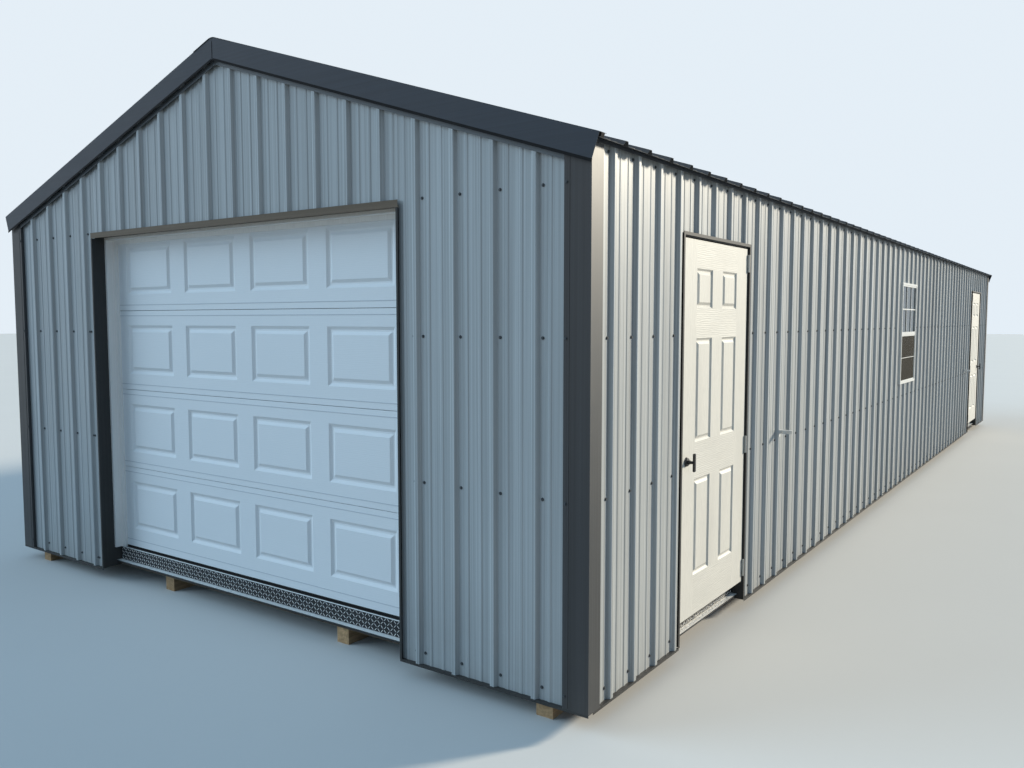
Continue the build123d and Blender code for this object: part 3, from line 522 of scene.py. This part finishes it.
def makePressed(name, look):
    material, tree, shader, position = newMaterial(name)
    grains = [addGroup(tree, embossGroup, {
        "Vector": addStretch(tree, position, squeeze, turn), "Colour": rgba(look["colour"]),
        "Shade": look["shade"]}) for squeeze, turn in look["grains"]]
    colour, height = grains[0]["Colour"], grains[0]["Height"]
    if len(grains) > 1:
        mask = addRailMask(tree, position)
        colour = addMix(tree, mask, colour, grains[1]["Colour"])
        change = times(tree, minus(tree, grains[1]["Height"], height), mask)
        height = plus(tree, height, change)
    scuff = addNoise(tree, position, scale=11.0, detail=4.0, roughness=0.6)
    feed(tree, shader, {
        "Base Color": colour, "Roughness": addRange(tree, scuff, (0.3, 0.7), look["gloss"]),
        "Normal": addBump(tree, height, look["depth"])})
    return material


glass = {"colour": (0.3, 0.35, 0.35), "bend": 1.25, "gloss": (0.02, 0.09)}


def makeGlass():
    material, tree, shader, position = newMaterial("windowGlass")
    film = addNoise(tree, position, scale=7.0, detail=4.0)
    feed(tree, shader, {
        "Base Color": rgba(glass["colour"]), "Transmission Weight": 1.0, "IOR": glass["bend"],
        "Roughness": addRange(tree, film, (0.4, 0.8), glass["gloss"])})
    return material


screenMesh = {"dark": (0.018, 0.017, 0.014), "light": (0.035, 0.033, 0.027), "cover": (0.75, 0.9)}


def makeScreen():
    material, tree, shader, position = newMaterial("insectScreen")
    weave = addNoise(tree, position, scale=900.0, detail=0.0)
    feed(tree, shader, {
        "Base Color": addMix(tree, weave, rgba(screenMesh["dark"]), rgba(screenMesh["light"])),
        "Alpha": addRange(tree, weave, (0.3, 0.7), screenMesh["cover"]),
        "Roughness": 0.75, "Specular IOR Level": 0.05})
    return material


finishes = {name: makeCoated(name, look) for name, look in coatedFinishes.items()}
finishes.update({name: makeTimber(name, look) for name, look in timberFinishes.items()})
finishes.update({name: makePressed(name, look) for name, look in pressedFinishes.items()})
finishes.update({"windowGlass": makeGlass(), "insectScreen": makeScreen()})

nodesByFinish = {
    "skidTimber": ["skids"],
    "shadedJoistTimber": ["floor_frame", "overhead_door_sill"],
    "deckTimber": ["floor_deck"],
    "studTimber": ["front_wall_frame", "front_gable_frame", "rear_wall_frame", "left_wall_frame",
                   "right_wall_frame"],
    "purlinTimber": ["walk_door_headers", "ridge_board", "roof_purlins"],
    "rafterTimber": ["roof_rafters", "ceiling_ties"],
    "roofSteel": ["roof_sheets", "ridge_cap"],
    "rakeSteel": ["rake_trims"],
    "stripSteel": ["gable_strips"],
    "cornerSteel": ["corner_trims"],
    "trimSteel": ["base_trims", "overhead_door_casings", "walk_door_jambs", "walk_door_casings"],
    "wallSteel": ["front_cladding", "rear_cladding"],
    "sideSteel": ["left_cladding", "right_cladding"],
    "sectionSkin": ["overhead_door_sections"],
    "boardPaint": ["overhead_door_jambs", "overhead_door_stops"],
    "browReflectionSteel": ["overhead_door_head_trim"],
    "shadedTreadMetal": ["overhead_door_threshold", "walk_door_thresholds"],
    "leafSkin": ["near_door_leaf", "far_door_leaf"],
    "blackHardware": ["near_door_handles", "far_door_handles"],
    "hingeZinc": ["near_door_hinge_leaves", "far_door_hinge_leaves", "walk_door_hinge_pins"],
    "rubber": ["walk_door_stops"],
    "bracketPaint": ["hold_back_brackets"],
    "vinyl": ["window_frame", "window_sashes"],
    "windowGlass": ["window_panes"],
}
for finish, nodeNames in nodesByFinish.items():
    for nodeName in nodeNames:
        nodes[nodeName].data.materials.clear()
        nodes[nodeName].data.materials.append(finishes[finish])
print("materials ready")

# what the minor ribs and screws of the walls keep clear of
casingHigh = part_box("walk_door_casings")[1]
windowLow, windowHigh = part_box("window_frame")
headLow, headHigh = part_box("overhead_door_head_trim")
cornerLow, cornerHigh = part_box("corner_trims")
sidePan = {"besideDoor": 0.045, "overDoor": 0.002, "besideWindow": 0.014}
minorRib = {"foot": 0.024, "crest": 0.012, "height": 0.0028, "offset": 0.038,
            "sideEnd": 0.09, "gableEnd": 0.13, "underRake": 0.1, "besideOpening": 0.004}


def sideRibs():
    between = place["rear"] - place["front"] - 2 * rib["firstSide"]
    count = round(between / rib["pitch"]) + 1
    return [place["front"] + rib["firstSide"] + i * rib["pitch"] for i in range(count)]


def gableRibs():
    return [place["middle"] + (i + 0.5) * rib["pitch"]
            for i in range(-rib["eachSide"], rib["eachSide"])]


def gableTop(x):
    return place["sheetTop"] + (halfWidth - abs(x - place["middle"])) * roof["slope"]


# the stretches of the right-hand wall, low to high, that are sheet at that Y
def sidePanStrips(y):
    low, high = place["sheetBottom"], place["sheetTop"]
    for start, end in leafBoxes.values():
        if start.y - sidePan["besideDoor"] < y < end.y + sidePan["besideDoor"]:
            return [(casingHigh.z + sidePan["overDoor"], high)]
    if windowLow.y - sidePan["besideWindow"] < y < windowHigh.y + sidePan["besideWindow"]:
        return [(low, windowLow.z), (windowHigh.z, high)]
    return [(low, high)]


# two minor ribs in each pan, one on either side of its middle
def minorPlaces(ribs):
    middles = [ribs[0] - rib["pitch"] / 2] + [spot + rib["pitch"] / 2 for spot in ribs]
    return [middle + side * minorRib["offset"] for middle in middles for side in (-1, 1)]


# a strip one metre tall that stands on the origin, with its crest towards +X
def addMinorRib():
    strip = addBlock((0.0, -minorRib["foot"] / 2, 0.0),
                     (minorRib["height"], minorRib["foot"] / 2, 1.0))
    pickFaces(strip, lambda centre, normal: normal.x > 0.9)
    bpy.ops.transform.resize(value=(1.0, minorRib["crest"] / minorRib["foot"], 1.0),
                             center_override=(minorRib["height"], 0.0, 0.5))
    doneEditing()
    openFaces(strip, lambda centre, normal: normal.x < -0.9)
    return strip


def standing(x, y, low, high, turn):
    return turnedAt(x, y, low, "Z", turn) @ Matrix.Diagonal((1.0, 1.0, high - low, 1.0))


def makeSideMinorRibs():
    spots = []
    for y in minorPlaces(sideRibs()):
        if place["front"] + minorRib["sideEnd"] < y < place["rear"] - minorRib["sideEnd"]:
            spots += [standing(pan["right"], y, *strip, 0) for strip in sidePanStrips(y)]
            spots.append(standing(pan["left"], y, place["sheetBottom"], place["sheetTop"], 180))
    finishPiece("side_minor_ribs", repeatPiece(addMinorRib(), spots), "sideSteel")


def makeGableMinorRibs():
    spots = []
    for x in minorPlaces(gableRibs()):
        if place["left"] + minorRib["gableEnd"] < x < place["right"] - minorRib["gableEnd"]:
            top = gableTop(x) - minorRib["underRake"]
            clear = minorRib["besideOpening"]
            inOpening = headLow.x - clear < x < headHigh.x + clear
            bottom = headHigh.z if inOpening else place["sheetBottom"]
            spots.append(standing(x, pan["front"], bottom, top, -90))
            spots.append(standing(x, pan["rear"], place["sheetBottom"], top, 90))
    finishPiece("gable_minor_ribs", repeatPiece(addMinorRib(), spots), "wallSteel")


makeSideMinorRibs()
makeGableMinorRibs()
print("minor ribs of the walls")

screw = {"washer": 0.0085, "washerThick": 0.0018, "head": 0.0052, "headTall": 0.0045,
         "flatShare": 0.866}


# one hex screw that stands on the origin and rises towards +Z
def addScrew():
    piece = addRod(screw["washer"], screw["washerThick"], 6)
    pickFaces(piece, looksUp)
    bpy.ops.mesh.inset(thickness=(screw["washer"] - screw["head"]) * screw["flatShare"])
    bpy.ops.mesh.extrude_region_move(TRANSFORM_OT_translate={"value": (0.0, 0.0, screw["headTall"])})
    doneEditing()
    openFaces(piece, looksDown)
    return piece


# rows above the foot of the sheets, and how far a screw stands from its rib or edge
screwRows = {
    "side": (0.056, 0.912, 1.6205, 2.4155), "gable": (0.058, 0.91, 1.6205, 2.276),
    "sideShift": -0.038, "gableShift": 0.0381, "gableEnd": 0.14, "trimShift": 0.011,
    "besideDoor": 1.466}
cornerBead = {"leg": 0.133, "fromEdge": 0.026, "wide": 0.005, "proud": 0.0014, "foot": 0.004,
              "round": 0.0006}
legEdge = (cornerHigh.x - cornerLow.x) / 2 - cornerBead["leg"]


def sideScrews():
    spots = []
    for ribAt in sideRibs():
        y = ribAt + screwRows["sideShift"]
        for row in screwRows["side"]:
            z = place["sheetBottom"] + row
            if any(low < z < high for low, high in sidePanStrips(y)):
                spots.append(turnedAt(pan["right"], y, z, "Y", 90))
            spots.append(turnedAt(pan["left"], y, z, "Y", -90))
    return spots


def gableScrews():
    spots = []
    for ribAt in gableRibs():
        x = ribAt + screwRows["gableShift"]
        if abs(x - place["middle"]) > halfWidth - screwRows["gableEnd"]:
            continue
        for row in screwRows["gable"]:
            z = place["sheetBottom"] + row
            if not headLow.x < x < headHigh.x or z > headHigh.z:
                spots.append(turnedAt(x, pan["front"], z, "X", 90))
            spots.append(turnedAt(x, pan["rear"], z, "X", -90))
    return spots


# through the corner trims, and beside the overhead doorway
def trimScrews():
    spots = []
    for side in (-1, 1):
        x = place["middle"] + side * (legEdge + screwRows["trimShift"])
        doorX = place["middle"] + side * screwRows["besideDoor"]
        for row in screwRows["gable"]:
            z = place["sheetBottom"] + row
            spots.append(turnedAt(x, cornerLow.y, z, "X", 90))
            spots.append(turnedAt(x, cornerHigh.y, z, "X", -90))
            if z < headLow.z:
                spots.append(turnedAt(doorX, pan["front"], z, "X", 90))
    return spots


def makeWallScrews():
    spots = sideScrews() + gableScrews() + trimScrews()
    finishPiece("wall_screws", repeatPiece(addScrew(), spots), "screwPaint")


# the pressed bead down each front and rear leg of the corner trims
def makeCornerBeads():
    beads = []
    half = cornerBead["wide"] / 2
    foot, top = cornerLow.z + cornerBead["foot"], place["sheetTop"]
    for side in (-1, 1):
        x = place["middle"] + side * (legEdge + cornerBead["fromEdge"])
        for face, outward in ((cornerLow.y, -1), (cornerHigh.y, 1)):
            crest = face + outward * cornerBead["proud"]
            beads.append(addSoftBlock((x - half, face, foot), (x + half, crest, top),
                                      cornerBead["round"]))
    finishPiece("corner_trim_beads", beads, "cornerSteel")


makeWallScrews()
makeCornerBeads()
print("wall screws and corner beads")


# on the pan of one slope, that far up from the eave, with +Z out of the roof
def roofPlace(side, fromEave, y):
    down = Vector((side * math.cos(roof["angle"]), 0.0, -math.sin(roof["angle"])))
    out = Vector((side * math.sin(roof["angle"]), 0.0, math.cos(roof["angle"])))
    sheetEnd = roofHigh.x if side > 0 else roofLow.x
    crestShift = side * math.sin(roof["angle"]) * (rib["height"] + rib["sheet"])
    eave = Vector((sheetEnd - crestShift, y, roofLow.z))
    spot = eave - down * fromEave + out * rib["sheet"]
    return Matrix(((down.x * side, 0.0, out.x, spot.x), (0.0, 1.0, 0.0, spot.y),
                   (down.z * side, 0.0, out.z, spot.z), (0.0, 0.0, 0.0, 1.0)))


roofScrew = {"fromEave": (0.09, 0.67, 1.25, 1.83, 2.31), "shift": 0.034}
roofRib = {"overWall": 0.046, "start": 0.008, "shorter": 0.19}


def makeRoofScrews():
    spots = [roofPlace(side, fromEave, ribAt + side * roofScrew["shift"])
             for side in (-1, 1) for ribAt in sideRibs() for fromEave in roofScrew["fromEave"]]
    finishPiece("roof_screws", repeatPiece(addScrew(), spots), "roofSteel")


def makeRoofMinorRibs():
    slopeLength = (halfWidth + roofRib["overWall"]) / math.cos(roof["angle"])
    lieDown = Matrix.Rotation(math.radians(-90), 4, "Y")
    toStart = Matrix.Translation((0.0, 0.0, roofRib["start"] - slopeLength / 2))
    stretch = Matrix.Diagonal((1.0, 1.0, slopeLength - roofRib["shorter"], 1.0))
    spots = [roofPlace(side, slopeLength / 2, y) @ lieDown @ toStart @ stretch
             for side in (-1, 1) for y in minorPlaces(sideRibs()) if abs(y) <= place["rear"]]
    finishPiece("roof_minor_ribs", repeatPiece(addMinorRib(), spots), "roofSteel")


# foam strips that fill the height of a rib between the roof pan and each rake trim's flange
rakeFoam = {"wide": 0.03, "tall": 0.0185, "fromEnd": 0.012, "fromEave": 0.004, "fromRidge": 0.05,
            "round": 0.002}


def makeRakeFoam():
    slopeLength = (roofHigh.x - roofLow.x) / 2 / math.cos(roof["angle"])
    length = slopeLength - rakeFoam["fromEave"] - rakeFoam["fromRidge"]
    half = rakeFoam["wide"] / 2
    ends = (roofLow.y + rakeFoam["fromEnd"] + half, roofHigh.y - rakeFoam["fromEnd"] - half)
    spots = [roofPlace(side, rakeFoam["fromEave"] + length / 2, y)
             for side in (-1, 1) for y in ends]
    foam = addSoftBlock((-length / 2, -half, 0.0), (length / 2, half, rakeFoam["tall"]),
                        rakeFoam["round"])
    finishPiece("rake_closures", repeatPiece(foam, spots), "rubber")


makeRoofScrews()
makeRoofMinorRibs()
makeRakeFoam()
print("roof ribs, screws and rake closures")

# overhead door: pressed lines across the sections, and the seal with its retainer under the lowest
doorLow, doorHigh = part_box("overhead_door_sections")
stopLow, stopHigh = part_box("overhead_door_stops")
plateLow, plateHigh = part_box("overhead_door_threshold")
overhead = {"sections": 4, "gap": 0.003, "overPlate": 0.0335, "stop": 0.0381}
steelBottom = plateHigh.z + overhead["overPlate"]
doorLeft, doorRight = stopLow.x + overhead["stop"], stopHigh.x - overhead["stop"]
pressed = {"wide": 0.0046, "proud": 0.0019, "round": 0.0007, "first": 0.027,
           "fromJoint": (-0.034, 0.038)}
seal = {"deep": 0.006, "retainer": 0.019, "retainerProud": 0.001, "retainerRound": 0.0008,
        "underSteel": 0.0004, "set": 0.0005, "gap": 0.0002, "lip": 0.003, "proud": 0.0045,
        "nose": 0.002}


def makePressedLines():
    pitch = (doorHigh.z + overhead["gap"] - steelBottom) / overhead["sections"]
    heights = [steelBottom + pressed["first"]]
    for index in range(1, overhead["sections"]):
        joint = steelBottom + index * pitch - overhead["gap"] / 2
        heights += [joint + offset for offset in pressed["fromJoint"]]
    half = pressed["wide"] / 2
    lines = [addSoftBlock((doorLeft, doorLow.y - pressed["proud"], z - half),
                          (doorRight, doorLow.y, z + half), pressed["round"]) for z in heights]
    finishPiece("overhead_door_pressed_lines", lines, "pressedLineShade")


def makeDoorSeal():
    front, back = doorLow.y, doorLow.y + seal["deep"]
    retainerFoot = steelBottom - seal["retainer"]
    retainer = addSoftBlock((doorLeft, front - seal["retainerProud"], retainerFoot),
                            (doorRight, back, steelBottom - seal["underSteel"]),
                            seal["retainerRound"])
    finishPiece("overhead_door_seal_retainer", [retainer], "sectionSkin")
    strip = addBlock((doorLeft, front + seal["set"], plateHigh.z + seal["gap"]),
                     (doorRight, back, retainerFoot - seal["gap"]))
    pickFaces(strip, lambda centre, normal: normal.y < -0.9)
    bpy.ops.mesh.inset(thickness=seal["lip"])
    bpy.ops.mesh.extrude_region_move(TRANSFORM_OT_translate={"value": (0.0, -seal["proud"], 0.0)})
    bpy.ops.mesh.inset(thickness=seal["nose"])
    doneEditing()
    finishPiece("overhead_door_seal", [strip], "rubber")


makePressedLines()
makeDoorSeal()

# raised bars, nose and ledge of the tread plates, coloured near white as painted highlight
tread = {"length": 0.024, "width": 0.0038, "height": 0.0014, "crest": (0.66, 0.5, 1.0), "turn": 45.0,
         "sheet": 0.003, "flange": 0.04, "lip": 0.008, "pitch": 0.0235, "end": 0.006,
         "cover": 0.0007, "coverProud": 0.0006, "nose": 0.005, "noseProud": 0.0016,
         "noseLift": 0.0004, "noseRound": 0.0006, "besideLeaf": 0.0058}
ledgeDeep = plateHigh.y - tread["flange"] - plateLow.y - 2 * tread["sheet"]
walkLow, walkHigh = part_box("walk_door_thresholds")


def addTreadBar():
    bar = addRod(0.5, 1.0, 8)
    bar.scale = (tread["length"], tread["width"], tread["height"])
    applyPlace()
    pickFaces(bar, looksUp)
    bpy.ops.transform.resize(value=tread["crest"], center_override=(0.0, 0.0, tread["height"]))
    doneEditing()
    openFaces(bar, looksDown)
    return bar


# even places between two ends, at about the tread's pitch
def treadPlaces(low, high):
    count = round((high - low) / tread["pitch"])
    return [low + (high - low) * (i + 0.5) / count for i in range(count)]


# every second bar leans the other way
def leaning(column, row):
    turn = tread["turn"] if (column + row) % 2 else -tread["turn"]
    return Matrix.Rotation(math.radians(turn), 4, "Z")


# bars on the face and the ledge of a plate that runs from first to last
def treadBars(first, last, rows, onFace, onLedge):
    spots = []
    for column, along in enumerate(treadPlaces(first + tread["end"], last - tread["end"])):
        spots += [onFace(along, z) @ leaning(column, row) for row, z in enumerate(rows)]
        spots.append(onLedge(along) @ leaning(column, 0))
    return spots


def makeTreadPlates():
    face = plateHigh.y - tread["flange"] - tread["sheet"]
    ledgeTop = plateLow.z + tread["lip"] + tread["sheet"]
    middle = plateLow.y + ledgeDeep / 2
    spots = treadBars(plateLow.x, plateHigh.x, treadPlaces(ledgeTop, plateHigh.z - tread["nose"]),
                      lambda x, z: turnedAt(x, face, z, "X", 90),
                      lambda x: Matrix.Translation((x, middle, ledgeTop + tread["cover"])))
    # thin covers on the nose and the ledge that carry the painted highlight
    highlightCovers = [
        addSoftBlock((plateLow.x, face - tread["noseProud"], plateHigh.z - tread["nose"]),
                     (plateHigh.x, face, plateHigh.z + tread["noseLift"]), tread["noseRound"]),
        addBlock((plateLow.x, plateLow.y - tread["coverProud"], ledgeTop),
                 (plateHigh.x, face, ledgeTop + tread["cover"]))]
    for leafLow, leafHigh in leafBoxes.values():
        middle = (leafLow.y + leafHigh.y) / 2
        half = (leafHigh.y - leafLow.y) / 2 + tread["besideLeaf"]
        low = Vector((walkLow.x, middle - half, walkLow.z))
        high = Vector((walkHigh.x, middle + half, walkHigh.z))
        face = high.x - ledgeDeep - tread["sheet"]
        ledgeTop = low.z + tread["lip"] + tread["sheet"]
        ledgeX = high.x - ledgeDeep / 2
        spots += treadBars(low.y, high.y, treadPlaces(ledgeTop, high.z - tread["nose"]),
                           lambda y, z: turnedAt(face, y, z, "Y", 90),
                           lambda y: Matrix.Translation((ledgeX, y, ledgeTop + tread["cover"])))
        highlightCovers.append(addBlock((face, low.y, ledgeTop),
                               (high.x + tread["coverProud"], high.y, ledgeTop + tread["cover"])))
    finishPiece("tread_bars", repeatPiece(addTreadBar(), spots), "treadHighlightMetal")
    finishPiece("tread_plate_highlights", highlightCovers, "treadHighlightMetal")


makeTreadPlates()
print("overhead door lines, seal and tread plates")

# dark closure between the side sheets and the roof, with a folded strip in front of it
eaveFill = {"end": 0.002, "gap": 0.0005, "tall": 0.004, "front": 0.003, "drop": 0.018,
            "under": 0.0015, "round": 0.0008}


def makeEaveClosures():
    parts = []
    first, last = place["front"] + eaveFill["end"], place["rear"] - eaveFill["end"]
    base = place["sheetTop"]
    top = base + eaveFill["tall"]
    for side in (-1, 1):
        wall = place["right"] if side > 0 else place["left"]
        near = wall + side * eaveFill["gap"]
        far = wall + side * (rib["height"] + rib["sheet"] + eaveFill["gap"])
        foam = addBlock((near, first, base), (far, last, top))
        pickFaces(foam, looksUp)
        bpy.ops.transform.rotate(value=side * roof["angle"], orient_axis="Y",
                                 center_override=((near + far) / 2, 0.0, top))
        doneEditing()
        strip = addSoftBlock((far, first, base - eaveFill["drop"]),
                             (far + side * eaveFill["front"], last, base - eaveFill["under"]),
                             eaveFill["round"])
        parts += [foam, strip]
    finishPiece("eave_closures", parts, "rakeSteel")


rakeLow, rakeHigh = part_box("rake_trims")
rakeJoint = {"width": 0.006, "proud": 0.0005, "face": 0.15, "below": 0.02}
rakeHemShadow = {"tall": 0.013, "proud": 0.0006, "face": 0.122, "sheet": 0.0012, "fromPeak": 0.006}


# the dark joint where the two rake trims of an end meet at the peak
def makeRakeJoints():
    half = rakeJoint["width"] / 2
    top = rakeHigh.z - rakeJoint["below"]
    joints = [addBlock((place["middle"] - half, face, top - rakeJoint["face"]),
                       (place["middle"] + half, face + outward * rakeJoint["proud"], top))
              for face, outward in ((rakeLow.y, -1), (rakeHigh.y, 1))]
    finishPiece("rake_peak_joints", joints, "rubber")


# a thin dark band along the lower edge of each rake trim's face, where its hem is: painted shadow of
# the gap under the trim
def makeRakeHemShadows():
    slopeLength = (rakeHigh.x - place["middle"]) / math.cos(roof["angle"])
    slopeLength -= rakeHemShadow["face"] * math.sin(roof["angle"])
    bottom = rakeHigh.z - rakeHemShadow["face"] - rakeHemShadow["sheet"]
    hemShadows = []
    for face, outward in ((rakeLow.y, -1), (rakeHigh.y, 1)):
        for side in (-1, 1):
            hemShadow = addBlock((side * rakeHemShadow["fromPeak"], face, 0.0),
                           (side * slopeLength, face + outward * rakeHemShadow["proud"], rakeHemShadow["tall"]))
            hemShadow.data.transform(Matrix.Translation((place["middle"], 0.0, bottom))
                               @ Matrix.Rotation(side * roof["angle"], 4, "Y"))
            hemShadows.append(hemShadow)
    finishPiece("rake_hem_shadows", hemShadows, "rubber")


makeEaveClosures()
makeRakeJoints()
makeRakeHemShadows()
print("eave closures, rake joints and hems")

# window bars in the upper sash, and the screen in front of the lower one
sashLow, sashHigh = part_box("window_sashes")
paneLow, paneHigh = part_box("window_panes")
sashMiddle = (windowLow.z + windowHigh.z) / 2
windowBars = {"rail": 0.03, "uprights": (1 / 3, 2 / 3), "wide": 0.012, "deep": 0.006,
              "gap": 0.0002, "crossProud": 0.0005, "round": 0.0015}
screenFrame = {"wide": 0.014, "deep": 0.006, "set": 0.002, "cross": 0.006, "crossSet": 0.001,
               "round": 0.001, "mesh": 0.002, "meshThick": 0.0006, "cuts": 4}


def makeWindowBars():
    low, high = sashMiddle + windowBars["rail"] / 2, paneHigh.z
    half = windowBars["wide"] / 2
    face = paneHigh.x + windowBars["gap"]
    front = face + windowBars["deep"]
    bars = []
    for share in windowBars["uprights"]:
        y = paneLow.y + (paneHigh.y - paneLow.y) * share
        bars.append(addSoftBlock((face, y - half, low), (front, y + half, high),
                                 windowBars["round"]))
    z = (low + high) / 2
    bars.append(addSoftBlock((face, paneLow.y, z - half),
                             (front + windowBars["crossProud"], paneHigh.y, z + half),
                             windowBars["round"]))
    finishPiece("window_bars", bars, "vinyl")


def makeWindowScreen():
    outer = sashHigh.x - screenFrame["set"]
    inner = outer - screenFrame["deep"]
    low, high = sashLow.z, sashMiddle - windowBars["rail"] / 2
    wide, edge = screenFrame["wide"], screenFrame["round"]
    left, right = sashLow.y + wide, sashHigh.y - wide
    bars = [addSoftBlock((inner, y, low), (outer, y + wide, high), edge)
            for y in (sashLow.y, right)]
    bars += [addSoftBlock((inner, left, z), (outer, right, z + wide), edge)
             for z in (low, high - wide)]
    z = low + (high - low) / 2
    bars.append(addSoftBlock((inner + screenFrame["crossSet"], left, z),
                             (outer - screenFrame["crossSet"], right, z + screenFrame["cross"]), edge))
    finishPiece("window_screen_frame", bars, "vinyl")
    back = inner + screenFrame["mesh"]
    mesh = addBlock((back, left, low + wide),
                    (back + screenFrame["meshThick"], right, high - wide))
    pickFaces(mesh, lambda centre, normal: abs(normal.x) > 0.9)
    bpy.ops.mesh.subdivide(number_cuts=screenFrame["cuts"])
    doneEditing()
    finishPiece("window_screen", [mesh], "insectScreen")


makeWindowBars()
makeWindowScreen()
print("window bars and screen")

# door handles: a ring on the rose, a six-sided nut round the stem and a key barrel
handle = {"rose": 0.009, "keySet": 0.0035, "ringSet": 0.0005, "smooth": 40.0}
handleParts = {  # radius, height, sides and edge round
    "ring": (0.0215, 0.003, 24, 0.001), "nut": (0.0125, 0.014, 6, 0.0015),
    "barrel": (0.005, 0.004, 12, 0.0008)}


def addTurned(name):
    radius, tall, sides, edgeRound = handleParts[name]
    piece = addRod(radius, tall, sides)
    pickFaces(piece, looksUp)
    bpy.ops.mesh.bevel(offset=edgeRound, segments=2, affect="EDGES")
    doneEditing()
    bpy.ops.object.shade_smooth_by_angle(angle=math.radians(handle["smooth"]))
    return piece


def makeHandleDetail(door):
    low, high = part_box(f"{door}_handles")
    middle = (low + high) / 2
    leafBack, leafFront = leafBoxes[door]
    barEnd = high.x - leafFront.x
    fromLeaf = {"ring": handle["rose"] - handle["ringSet"], "nut": handle["rose"],
                "barrel": barEnd - handle["keySet"]}
    parts = []
    for surface, sign in ((leafFront.x, 1), (leafBack.x, -1)):
        for name, distance in fromLeaf.items():
            part = addTurned(name)
            x = surface + sign * distance
            part.data.transform(turnedAt(x, middle.y, middle.z, "Y", sign * 90))
            parts.append(part)
    finishPiece(f"{door}_handle_detail", parts, "blackHardware", body=door)


for door in leafBoxes:
    makeHandleDetail(door)
print("handle details")

# camera, floor and lights
cameraSpot = {"place": (4.2273, -9.8311, 1.7851), "turn": (85.76, 0.0, 35.11), "lens": 30.085,
              "sensor": 36.0, "reach": 300.0}
light = {"domeColour": (0.42, 0.7, 1.0), "domeStrength": 0.5, "backdrop": (0.78, 0.86, 0.93)}
lamps = {
    "key": {"strength": 5.0, "angle": 7.0, "from": (0.55, 0.8, 0.33), "colour": (1.0, 0.91, 0.74),
            "mirrored": True},
    "leftFill": {"strength": 2.15, "angle": 45.0, "from": (-0.78, -0.5, 0.35),
                 "colour": (0.6, 0.82, 1.0), "mirrored": False},
}
lampDistance = 12.0
floorLook = {"size": 240.0, "pale": ((0.61, 0.6, 0.58), (0.64, 0.63, 0.61)),
             "bounce": (0.3, 0.28, 0.25), "roughness": 0.9}


def makeCamera():
    deselectAll()
    turn = [math.radians(angle) for angle in cameraSpot["turn"]]
    bpy.ops.object.camera_add(location=cameraSpot["place"], rotation=turn)
    camera = bpy.context.object
    camera.data.lens = cameraSpot["lens"]
    camera.data.sensor_width = cameraSpot["sensor"]
    camera.data.clip_end = cameraSpot["reach"]
    bpy.context.scene.camera = camera


def makeLamp(name, lamp):
    deselectAll()
    bpy.ops.object.light_add(type="SUN", location=Vector(lamp["from"]) * lampDistance)
    sun = bpy.context.object
    sun.name = name
    sun.data.energy = lamp["strength"]
    sun.data.angle = math.radians(lamp["angle"])
    sun.data.color = lamp["colour"]
    sun.visible_glossy = lamp["mirrored"]
    sun.rotation_mode = "QUATERNION"
    sun.rotation_quaternion = Vector(lamp["from"]).to_track_quat("Z", "Y")


# 1 for the rays that show the background itself, straight, mirrored or through glass
def addSeen(tree):
    path = addNode(tree, "LightPath", {})
    direct = addMath(tree, "MAXIMUM", path["Is Camera Ray"], path["Is Transmission Ray"])
    return addMath(tree, "MAXIMUM", direct, path["Is Glossy Ray"])


def addBackground(tree, colour, strength):
    return addNode(tree, "Background", {"Color": rgba(colour), "Strength": strength})[0]


def makeWorld():
    world = bpy.data.worlds.new("studio")
    bpy.context.scene.world = world
    world.use_nodes = True
    tree = world.node_tree
    tree.nodes.clear()
    dome = addBackground(tree, light["domeColour"], light["domeStrength"])
    backdrop = addBackground(tree, light["backdrop"], 1.0)
    mixed = addNode(tree, "MixShader", {0: addSeen(tree), 1: dome, 2: backdrop})[0]
    addNode(tree, "OutputWorld", {"Surface": mixed})


def makeFloor():
    deselectAll()
    bpy.ops.mesh.primitive_plane_add(size=floorLook["size"], location=(0.0, 0.0, 0.0))
    floor = bpy.context.object
    floor.name = "studio_floor"
    material, tree, shader, position = newMaterial("studioFloor")
    tone = addNoise(tree, position, scale=0.6, detail=2.0)
    pale = addMix(tree, tone, *[rgba(colour) for colour in floorLook["pale"]])
    seen = addMix(tree, addSeen(tree), rgba(floorLook["bounce"]), pale)
    feed(tree, shader, {"Base Color": seen, "Roughness": floorLook["roughness"]})
    floor.data.materials.append(material)


makeCamera()
for name, lamp in lamps.items():
    makeLamp(name, lamp)
makeWorld()
makeFloor()
print("camera, floor and lights")

bpy.context.scene.view_settings.view_transform = "Standard"
